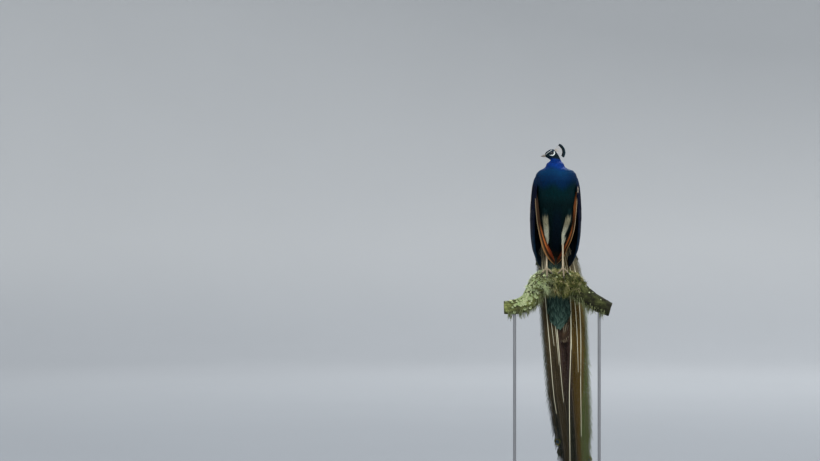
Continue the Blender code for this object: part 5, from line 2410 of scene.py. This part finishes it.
@dataclass
class Train:
    """The long train: dark-vaned feathers with pale shafts in front, eyed bronze ones behind."""

    front_shafts: int = 26
    front_spacing: float = 0.0046        # from barb to barb, and the barbs' length
    front_barb: float = 0.042
    inner: int = 26
    inner_spacing: float = 0.0056
    back_spacing: float = 0.0042
    back_barb: float = 0.034
    back_shown: float = 0.24             # how far up from its tip a back feather has barbs
    roots: tuple[float, float] = (0.10, 0.18)
    thick_shaft: float = 0.0032          # radii of the shafts
    thin_shaft: float = 0.0010
    back_shaft: float = 0.0011
    eye_height: float = 0.0205           # half sizes of an eye
    eye_width: float = 0.0175
    finish: VaneFinish = VaneFinish("train barbs", 0.45, metal=0.25, barbs=5.0, relief=0.15, sheen=0.15)
    # The bright shafts: share across at the root and at the end, and the end's height.
    bright: tuple = (
        (-0.80, -0.72, -0.76), (-0.70, -0.56, -0.40), (-0.43, -0.29, -0.70), (-0.50, -0.39, -0.50),
        (0.43, -0.47, -1.19), (0.54, 0.49, -0.54), (0.77, 0.47, -0.88), (0.31, 0.23, -0.42),
    )
    # The feathers that end in an eye: their plumes, number and the eye's size.
    eyes: list[tuple[Plumes, int, float]] = field(default_factory=list)

    def build(self) -> None:
        """Makes front and back feathers with their eyes."""
        self.front()
        self.inside()
        self.back()
        self.saddle()
        self.build_eyes()

    def front(self) -> None:
        """Feathers seen from in front and below: brown vanes, and a few bright shafts."""
        rng = np.random.default_rng(61)
        share_top, share_low, low = np.array(self.bright).T
        strong, dull = len(low), self.front_shafts - len(low)
        share = np.linspace(-0.95, 0.95, dull) + rng.uniform(-0.03, 0.03, dull)
        dull_low = -1.205 + 0.19 * np.abs(share) ** 1.6
        dull_low[:2] = (-0.93, -0.86)
        plumes = Plumes(
            np.concatenate((np.full(strong, 0.130), rng.uniform(*self.roots, dull))),
            np.concatenate((low, dull_low)),
            np.concatenate((share_top, share * 0.96)),
            np.concatenate((share_low, share * 0.92)),
            np.concatenate((np.full(strong, 0.12), rng.uniform(0.07, 0.20, dull))),
            np.concatenate((np.full(strong, 0.03), rng.uniform(0.10, 0.45, dull))),
            np.repeat((1.0, 0.0), (strong, dull)),
        )
        radius = np.where(plumes.ahead > 0, self.thick_shaft, self.thin_shaft)
        plumes.shafts("train_front_shafts", radius, plumes.ahead)
        half = self.front_shafts // 2 + 1
        for number, chosen in enumerate((range(half), range(half, self.front_shafts))):
            barbs = plumes.barbs(chosen, self.front_spacing, self.front_barb, self.front_tint, 80 + number)
            Piece(f"train_front_barbs_{number + 1}", self.finish, "train_feathers").loft(barbs)
        self.eyes += [(plumes, i, 1.0) for i in range(strong, self.front_shafts)]

    @staticmethod
    def front_tint(p: Array, along: Array, number: Array) -> Array:
        """Brown to purple-brown and olive across the train, green at its left edge, darker lower down.

        Args:
            p: points relative to the feet.
            along: places along the barb.
            number: which feather it is on.

        Returns:
            The tints.
        """
        px, _, z = np.moveaxis(p, -1, 0)
        x, half, _, _ = table_at(TRAIN, z)
        u = (px - x) / half
        low = step(-z, 0.40, 0.90)
        bound = np.interp(z, (-0.86, -0.65, -0.44, -0.29), (0.36, 0.60, 0.76, 0.82))
        streak = 0.5 + 0.5 * np.sin(number * 2.4)
        plum = blend(rgb(72, 50, 44), rgb(44, 46, 28), low)
        colour = layered(
            rgb(88, 74, 46),
            (plum, step(u, -0.36, -0.24) * (1 - step(u, 0.10, 0.24))),
            (rgb(116, 92, 36), step(u, 0.16, 0.30)),
            (rgb(104, 120, 66), step(u - bound, -0.02, 0.10) * (0.55 + 0.45 * streak)),
            (rgb(150, 160, 132), step(u, 0.84, 1.0) * 0.8),
            (rgb(134, 128, 106), step(z, -0.12, 0.02) * step(np.abs(u), 0.35, 0.75) * 0.85),
            (rgb(22, 30, 22), (1 - step(u, -0.74, -0.20)) * low),
            (rgb(84, 96, 68), (1 - step(u, -0.98, -0.86)) * (1 - low)),
        )
        return colour * ((0.72 + 0.5 * along) * (1 - 0.28 * low))[..., None]

    def inside(self) -> None:
        """Feathers between front and back, which close the train's sides."""
        rng = np.random.default_rng(66)
        count = self.inner
        share = np.linspace(-0.985, 0.985, count)
        low = -1.12 + 0.20 * np.abs(share) ** 2 + rng.uniform(-0.05, 0.05, count)
        depth = 0.55 + 0.20 * np.sin(np.arange(count) * 2.4)
        plumes = Plumes(rng.uniform(*self.roots, count), low, share * 0.98, share, depth, depth)
        plumes.shafts("train_inner_shafts", self.thin_shaft)
        long = np.where(np.abs(share) > 0.84, 0.036, 0.044)
        barbs = plumes.barbs(range(count), self.inner_spacing, long, self.front_tint, 84)
        Piece("train_inner_barbs", self.finish, "train_feathers").loft(barbs)

    def back(self) -> None:
        """Layers of eyed feathers, the shorter over the longer, which come up to the back at their ends."""
        rng = np.random.default_rng(62)
        places = []
        z, row = 0.110, 0
        while z > LONGEST_Z + 0.07:
            _, half, _, _ = table_at(TRAIN, np.array(z))
            pitch = float(np.interp(z, (-1.2, -0.3, 0.05), (0.044, 0.043, 0.034)))
            count = max(int(2 * float(half) / pitch), 3)
            for k in range(count):
                place = (k + 0.5 + 0.25 * (1 if row % 2 else -1)) / count * 2 - 1
                places.append((place * 0.93, z - 0.02 + 0.045 * place**2 + rng.uniform(-0.010, 0.010)))
            z -= float(np.interp(z, (-1.2, -0.3, 0.05), (0.084, 0.066, 0.042)))
            row += 1
        share, low = np.array(places).T
        reach = np.clip((0.05 - low) / (0.05 - LONGEST_Z), 0, 1)
        depth = 0.99 - 0.55 * reach, np.full(len(low), 0.995)
        plumes = Plumes(0.262 - 0.10 * reach, low, share * 0.95, share, *depth)
        plumes.shafts("train_back_shafts", self.back_shaft)

        def tint(p: Array, along: Array, number: Array) -> Array:
            """Green-gold barbs that turn bronze outwards and green round the eye.

            Args:
                p: points relative to the feet.
                along: places along the barb.
                number: which feather it is on.

            Returns:
                The tints.
            """
            colour = layered(
                rgb(70, 92, 40),
                (rgb(112, 118, 44), 0.5 + 0.5 * np.sin(number * 2.4)),
                (rgb(128, 84, 40), step(along, 0.45, 1.0) * 0.55),
                (rgb(40, 104, 62), (1 - step(p[..., 2] - low[number], 0.0, 0.04)) * 0.6),
            )
            return colour * (0.7 + 0.55 * along)[..., None]

        solids = ("train_upper", "train_middle", "train_lower")
        solids += tuple(f"train_plume_{row}_{column}" for row in (1, 2, 3) for column in range(1, 6))
        order, parts = np.argsort(-low), 3
        for number in range(parts):
            chosen = order[number * len(order) // parts : (number + 1) * len(order) // parts]
            stands_for = () if number else solids
            piece = Piece(f"train_back_barbs_{number + 1}", self.finish, "train_feathers", stands_for)
            sizes = (self.back_spacing, self.back_barb)
            piece.loft(plumes.barbs(chosen, *sizes, tint, 90 + number, self.back_shown))
        size = np.interp(low, (-0.6, 0.12), (1.0, 0.55))
        self.eyes += [(plumes, i, float(size[i])) for i in range(len(low))]

    def saddle(self) -> None:
        """Scale feathers over the train's root."""

        def tint(p: Array, across: Array, along: Array) -> Array:
            """The back's scales with a copper middle.

            Args:
                p: points relative to the feet.
                across: places across the vane.
                along: places along it.

            Returns:
                The tints.
            """
            inner = 1 - step(np.abs(across), 0.15, 0.40)
            middle = inner * step(along, 0.15, 0.5) * (1 - step(along, 0.6, 0.8))
            return blend(MARKS.back(p, across, along), rgb(120, 84, 34), middle * 0.7)

        vane = Vane(Outline.BLUNT, 6, 5, 0.08, 0.05, 0.04)
        pitch = ((0.285, 0.0165), (0.16, 0.0200), (0.05, 0.0240))
        tract = Tract(
            0.285, 0.055, pitch, long=2.0, wide=1.5, sunk=0.0015, vane=vane, yaw=0.06, spread=0.08,
            row=0.8, seed=67,
        )
        finish = VaneFinish("saddle feathers", 0.42, metal=0.45, barbs=16.0)
        grown = tract.grow(TrainForm(), tint, lambda p: np.abs(p[:, 0]) < 0.110)
        Piece("train_saddle_coat", finish, "train_feathers").loft(grown)

    def build_eyes(self) -> None:
        """The eye markings, each a shallow disc of close barbs with a loose fringe."""
        spots = 28
        reach = np.linspace(0.04, 1.0, 8)[:, None]
        c, s = reach * np.cos(circle(spots)), reach * np.sin(circle(spots))
        pinch = 1 - 0.16 * (s < 0) * reach**2
        dome = 0.0022 + 0.0012 * (1 - reach**2)
        rng = np.random.default_rng(63)
        discs, chances = [], []
        for plumes, i, size in self.eyes:
            ragged = 1 + 0.05 * rng.uniform(-1, 1, spots) * (reach > 0.95)
            z = plumes.low[i] + self.eye_height * size * (0.9 + s * ragged)
            aside = self.eye_width * size * c * pinch * ragged
            discs.append(plumes.at(np.full(z.shape, i), z, aside, dome))
            chances.append(rng.uniform(0, 1))
        batch = lofts(np.array(discs), (1.0, 1.0, 1.0), None, chances, c, s)
        Piece("train_eyes", OcellusFinish(), "train_feathers").loft(batch)


@dataclass
class Crest:
    """A fan of bare shafts behind the crown, each ending in a small blue-green vane."""

    count: int = 24
    root: tuple[float, float, float] = (-0.0080, HEAD_Y, 0.6215)
    first: float = 47                    # slopes of the first and the last shaft, in degrees
    last: float = -36
    sag: float = 0.0015
    vane_start: float = 0.70
    vane_length: float = 0.32            # both as shares of the shaft
    vane_width: float = 0.0076

    def build(self) -> None:
        """Makes shafts and vanes."""
        rng = np.random.default_rng(64)
        t = np.linspace(0, 1, self.count)
        turn = np.radians(self.first - (self.first - self.last) * t)
        length = np.interp(t, (0, 0.42, 0.71, 1), (0.0435, 0.0508, 0.0556, 0.0570))
        aside = 0.0035 * rng.uniform(-1, 1, self.count)
        way = stack(np.cos(turn), 0.0, np.sin(turn))
        foot = FEET + np.array(self.root) + np.array([0.0035, 0, -0.0028]) * (t - 0.5)[:, None]

        def along(s: Array) -> Array:
            """Points of the shafts at shares of their length."""
            bent = stack(0.0, aside[:, None] * s, -self.sag * s**2)
            return foot[:, None] + way[:, None] * (length[:, None] * s)[..., None] + bent

        s = np.linspace(-0.06, 0.98, 14)
        radius = np.interp(s, (0, 0.7, 1), (0.00026, 0.00020, 0.00010))
        pale = blend(rgb(178, 168, 156), rgb(40, 50, 50), step(s, 0.72, 0.84))
        shafts = lofts(tubes(along(s), radius, 6, 1.0, (0.0, 1.0, 0.0)), pale[:, None])
        out = np.array([0.0, -1.0, 0.0]) + rng.normal(0, 0.12, way.shape)
        vane = Vane(Outline.ROUND, 8, 5, 0.05, 0.0, 0.0, 0.0006)
        base = along(np.array([self.vane_start]))[:, 0]
        out = unit(square_to(out, way))
        width = np.full(self.count, self.vane_width)
        points = vane.straight(base, way, out, length * self.vane_length, width)
        colour = blend(rgb(4, 16, 20), rgb(5, 38, 48), step(vane.along(), 0.2, 0.9))[:, None]
        tips = lofts(points, colour, across=edge_to_edge(vane.columns)[0])
        finish = VaneFinish("crest feathers", 0.42, metal=0.15, barbs=6.0)
        Piece("crest_feathers_fan", finish, "crest_feathers", ("crest",)).loft(shafts, tips)


# ---- perch and stand ----
def wave_field(p: Array, seed: int, size: float) -> Array:
    """A smooth random field from -1 to 1 over points, with features of a given size.

    Args:
        p: the points.
        seed: which field.
        size: the size of its widest features.

    Returns:
        A value for each point.
    """
    rng = np.random.default_rng(seed)
    total = np.zeros(p.shape[:-1])
    for octave in range(4):
        for _ in range(5):
            way = unit(rng.normal(0, 1, 3)) * (TAU / size * 1.8**octave * rng.uniform(0.7, 1.3))
            total += np.sin(p @ way + rng.uniform(0, TAU)) / 1.7**octave
    return total / 5


@dataclass
class Perch:
    """A cut length of bark with moss, lichen and hanging beard."""

    steps: int = 240
    spots: int = 96
    moss: int = 7000
    lichen: int = 260
    beards: int = 900
    rods: tuple[float, float] = (-0.215, 0.225)
    ends: tuple[float, float] = (-0.262, 0.272)      # how far growth goes towards the cuts
    grip: tuple[float, float] = (-0.006, 0.075)      # middle and half length of the gripped part
    bark_depth: float = 0.0018                       # how far bark lies below the solid's surface
    grip_depth: float = 0.0012                       # and how much further under the feet

    def build(self) -> None:
        """Makes bark, moss, lichen and beard."""
        self.bark()
        self.tufts()
        self.rosettes()
        self.hang()

    @staticmethod
    def surface(x: Array, turn: Array, out: float = 0.0) -> tuple[Array, Array]:
        """Points of the perch, and the way out of it. Turn 0 is up and a quarter turn is forward.

        Args:
            x: places along the perch.
            turn: 0 is up and a quarter turn is forward.
            out: how far out of the surface.

        Returns:
            The points, and the ways out at them.
        """
        z, radius = table_at(PERCH, x)
        slope = (table_at(PERCH, x + 0.002)[0] - table_at(PERCH, x - 0.002)[0]) / 0.004
        tilt = 1 / np.sqrt(1 + slope**2)
        normal = stack(-slope * tilt * np.cos(turn), -np.sin(turn), tilt * np.cos(turn))
        return FEET + stack(x, 0.0, z) + normal * (radius + out)[..., None], normal

    @staticmethod
    def dress(name: str, finish: str, points: Array, colour: Array, cell: Array | None = None) -> None:
        """Makes a piece of dull growth on the bark."""
        growth = VaneFinish(finish, 0.9, barbs=3.0, specular=0.1)
        Piece(name, growth, "perch_bark").loft(lofts(points, colour, cell))

    def bark(self) -> None:
        """The bark, flat where the feet grip, and the two plain cut ends."""
        x = np.linspace(PERCH[0][0], PERCH[-1][0], self.steps)[:, None] + np.zeros(self.spots)
        turn = np.broadcast_to(circle(self.spots), x.shape)
        point, normal = self.surface(x, turn)
        rough = wave_field(point * (0.6, 1, 1), 5, 0.030) * 0.0020 + wave_field(point, 6, 0.010) * 0.0008
        grip = (np.abs(x - self.grip[0]) < self.grip[1]) & (np.cos(turn) > -0.2)
        point = point + normal * (rough - self.bark_depth - self.grip_depth * grip)[..., None]
        shade = 1.15 - 0.7 * step(x, 0.09, 0.16) + 0.7 * step(-x, 0.03, 0.10)
        tone = (1.0 + 0.35 * wave_field(point, 7, 0.020)) * shade
        inset = np.array([0.96, 0.6, 0.3, 0.02])[:, None, None]
        ends = (point[0], point[-1])
        first, last = (ring.mean(axis=0) + (ring - ring.mean(axis=0)) * inset for ring in ends)
        whole = np.concatenate((first[::-1], point, last))
        cut = np.full((len(inset), self.spots), 2.6)
        tones = np.concatenate((cut, tone, cut))
        batch = lofts(whole[None], tones[None, ..., None], np.array([[0.01, 0.01, 0.98, 0.98]]))
        Piece("perch_bark_skin", BarkFinish(), "perch_bark", ("perch",)).loft(batch)

    def tufts(self) -> None:
        """Moss: short curled blades in cushions, thickest round the feet."""
        rng = np.random.default_rng(65)
        many = self.moss * 3
        x = np.concatenate((rng.uniform(-0.110, 0.125, many), rng.uniform(*self.ends, many // 2)))
        turn = rng.uniform(-math.pi, math.pi, len(x))
        point, _ = self.surface(x, turn)
        thick = wave_field(point, 8, 0.045) + 0.55 * (np.abs(x - 0.005) < 0.10) + 0.35 * np.cos(turn) - 0.1
        chosen = np.flatnonzero(thick > 0.15)[: self.moss]
        x, turn = x[chosen], turn[chosen]
        feet = np.minimum(np.abs(x - FOOT_X["left"]), np.abs(x - FOOT_X["right"]))
        near = (feet < 0.032) & (np.cos(turn) > 0.1) & (np.sin(turn) > -0.5)
        shaggy = 0.010 + 0.008 * (np.cos(turn) < 0.3)
        length = (np.where(near, 0.006, shaggy) * rng.uniform(0.6, 1.5, len(x)))[:, None, None]
        root, out = self.surface(x, turn, -0.003)
        lean = unit(rng.normal(0, 1, out.shape) + (0, 0, -0.5))
        t = np.linspace(0, 1, 4)[:, None]
        path = root[:, None] + length * (out[:, None] * t + 0.7 * lean[:, None] * t**2)
        radius = np.array([0.0009, 0.0010, 0.0007, 0.0002]) * rng.uniform(0.8, 1.4, len(x))[:, None]
        tone = wave_field(root, 9, 0.030) + rng.normal(0, 0.35, len(x))
        colour = layered(
            rgb(50, 60, 30),
            (rgb(146, 150, 84), step(tone, -0.6, 0.4)),
            (rgb(222, 208, 156), step(tone, 0.25, 0.8)),
            (rgb(212, 226, 180), step(-x, -0.01, 0.09) * 0.8),
            (rgb(110, 68, 32), step(wave_field(root, 10, 0.020), 0.55, 0.9)),
            (rgb(24, 56, 28), step(x, 0.09, 0.15) * 0.9),
        )
        shade = np.array([0.6, 0.85, 1.1, 1.3])[:, None, None]
        cell = unwrap(np.clip((x + 0.27) / 0.55, 0, 1), turn / TAU + 0.5)
        self.dress("perch_moss", "moss", tubes(path, radius, 3, 0.6), colour[:, None, None] * shade, cell)

    def rosettes(self) -> None:
        """Lichen: small ruffled cups of yellow-green."""
        rng = np.random.default_rng(66)
        count = self.lichen
        most = count * 2 // 3
        x = np.concatenate((rng.normal(-0.135, 0.035, most), rng.uniform(-0.26, 0.27, count - most)))
        x = np.clip(x, *self.ends)
        x = np.where((x > 0.06) & (rng.uniform(0, 1, count) < 0.88), rng.normal(-0.15, 0.04, count), x)
        root, out = self.surface(x, rng.normal(0.4, 0.9, count), -0.0005)
        side = unit(np.cross(out, (0.2, 0.9, 0.3)))
        over = np.cross(out, side)
        around, reach = circle(18), np.linspace(0.10, 1.0, 5)[:, None]
        size = (rng.uniform(0.0035, 0.0085, count) * np.where(x > -0.05, 0.62, 1.0))[:, None, None]
        frill = 0.22 * np.sin(around * 5 + rng.uniform(0, TAU, (count, 1))) + 0.10 * np.sin(around * 9)
        radius = size * reach * (1 + frill[:, None] * reach**2)
        height = size * (0.10 + 0.55 * reach**2 * (0.7 + 0.3 * np.sin(around * 7)))
        flat = side[:, None, None] * np.cos(around)[:, None] + over[:, None, None] * np.sin(around)[:, None]
        points = root[:, None, None] + flat * radius[..., None] + out[:, None, None] * height[..., None]
        colour = blend(rgb(150, 168, 112), rgb(196, 202, 158), rng.uniform(0, 1, count))
        shade = np.linspace(0.6, 1.1, len(reach))[:, None, None]
        self.dress("perch_lichen", "lichen", points, colour[:, None, None] * shade)

    def hang(self) -> None:
        """Beard that hangs in short strands below the perch."""
        rng = np.random.default_rng(67)
        count = self.beards
        x = rng.uniform(-0.25, 0.26, count)
        turn = math.pi + rng.uniform(-1.2, 1.2, count)
        heavy = 0.5 + 0.5 * wave_field(stack(x, 0.0, 0.0), 12, 0.06)
        length = rng.uniform(0.010, 0.036, count) * (0.4 + np.clip(heavy, 0, 1.4))
        beside = np.minimum(*(np.abs(x - rod) for rod in self.rods)) < 0.012
        length = np.where(beside, 0.006, length)[:, None, None]
        root, _ = self.surface(x, turn, -0.002)
        t = np.linspace(0, 1, 5)[:, None]
        sway = rng.normal(0, 0.22, (count, 1, 3)) * (1, 1, 0)
        path = root[:, None] + (sway * t**1.4 + (0, 0, -1.0) * t) * length
        radius = np.array([0.0008, 0.0009, 0.0007, 0.0005, 0.0002]) * rng.uniform(0.8, 1.3, count)[:, None]
        colour = blend(rgb(78, 86, 52), rgb(150, 156, 112), rng.uniform(0, 1, count))
        strands = tubes(path, radius, 4, 0.7, (0.0, 1.0, 0.1))
        self.dress("perch_beard", "beard", strands, colour[:, None, None])


@dataclass
class Stand:
    """The display stand's own solids, dressed in paint and steel."""

    board: Finish = BoardFinish()
    rod: Finish = SteelFinish()

    def build(self) -> None:
        """Dresses base and rods."""
        for name, finish in (("base", self.board), ("rod_left", self.rod), ("rod_right", self.rod)):
            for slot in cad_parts[f"stand_{name}"].material_slots:
                slot.material = finish.material()


@dataclass
class Studio:
    """A pale floor that sweeps up all round, soft light and the camera."""

    flat: float = 14.0                   # radius of the level floor
    sweep: float = 6.0                   # radius of its rise
    wall: float = 9.0                    # height of the wall above it
    distance: float = 12.0               # from the camera to the bird
    view_width: float = 4.264            # the width that it sees there
    camera_x: float = -0.759
    camera_height: float = 0.2054
    aim: tuple[float, float, float] = (0.0, 0.0, 1.3)
    # Each lamp's name, place, width and power.
    lamps: tuple = (
        ("key", (6.0, -14.0, 15.0), 10.0, 2800.0),
        ("fill", (-5.0, -7.0, 5.0), 5.0, 160.0),
        ("rim", (4.0, 12.0, 12.0), 9.0, 1500.0),
    )

    def build(self) -> None:
        """Makes floor, lights and camera."""
        self.floor()
        self.lights()
        self.camera()

    def floor(self) -> None:
        """The floor and its sweep, in one turned surface."""
        bend = np.linspace(0, math.pi / 2, 14)[1:]
        end = self.flat + self.sweep
        bowl = self.flat + self.sweep * np.sin(bend)
        radius = np.concatenate((np.linspace(0.05, self.flat, 12), bowl, [end]))
        height = np.concatenate((np.zeros(12), self.sweep * (1 - np.cos(bend)), [self.sweep + self.wall]))
        turn, radius = circle(96), radius[:, None]
        points = stack(radius * np.cos(turn), radius * np.sin(turn), height[:, None] - 0.0005)
        sweep = lofted("floor_sweep", points, ends=(0,))
        sweep.data.shade_smooth()
        sweep.data.materials.append(StageFinish().material())

    def lights(self) -> None:
        """An open sky and three broad soft lamps."""
        world = bpy.data.worlds.new("sky")
        world.use_nodes = True
        back = next(n for n in world.node_tree.nodes if n.type == "BACKGROUND")
        back.inputs["Color"].default_value = (0.88, 0.93, 1.0, 1.0)
        back.inputs["Strength"].default_value = 0.95
        bpy.context.scene.world = world
        for name, place, size, power in self.lamps:
            data = bpy.data.lights.new(name, "AREA")
            data.shape, data.size, data.energy = "DISK", size, power
            lamp = linked(name, data)
            lamp.location = place
            lamp.rotation_euler = (Vector(self.aim) - Vector(place)).to_track_quat("-Z", "Y").to_euler()
            lamp.visible_camera = False

    def camera(self) -> None:
        """The camera, level and square to the perch."""
        data = bpy.data.cameras.new("camera")
        data.sensor_width = 36.0
        data.lens = data.sensor_width * self.distance / self.view_width
        data.clip_end = 100.0
        camera = linked("camera", data)
        camera.location = (self.camera_x, float(FEET[1]) - self.distance, float(FEET[2]) + self.camera_height)
        camera.rotation_euler = (math.pi / 2, 0, 0)
        bpy.context.scene.camera = camera
        bpy.context.scene.view_settings.view_transform = "Standard"


def main() -> None:
    """Builds and dresses the model."""
    logging.basicConfig(level=logging.INFO, format="%(message)s")
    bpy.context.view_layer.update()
    for kind in (Studio, Flesh, Eyes, Bill, Claws, Coat, Wings, Tail, Train, Crest, Perch, Stand):
        kind().build()
        LOG.info("built %s", kind.__name__)


if __name__ == "__main__":
    main()
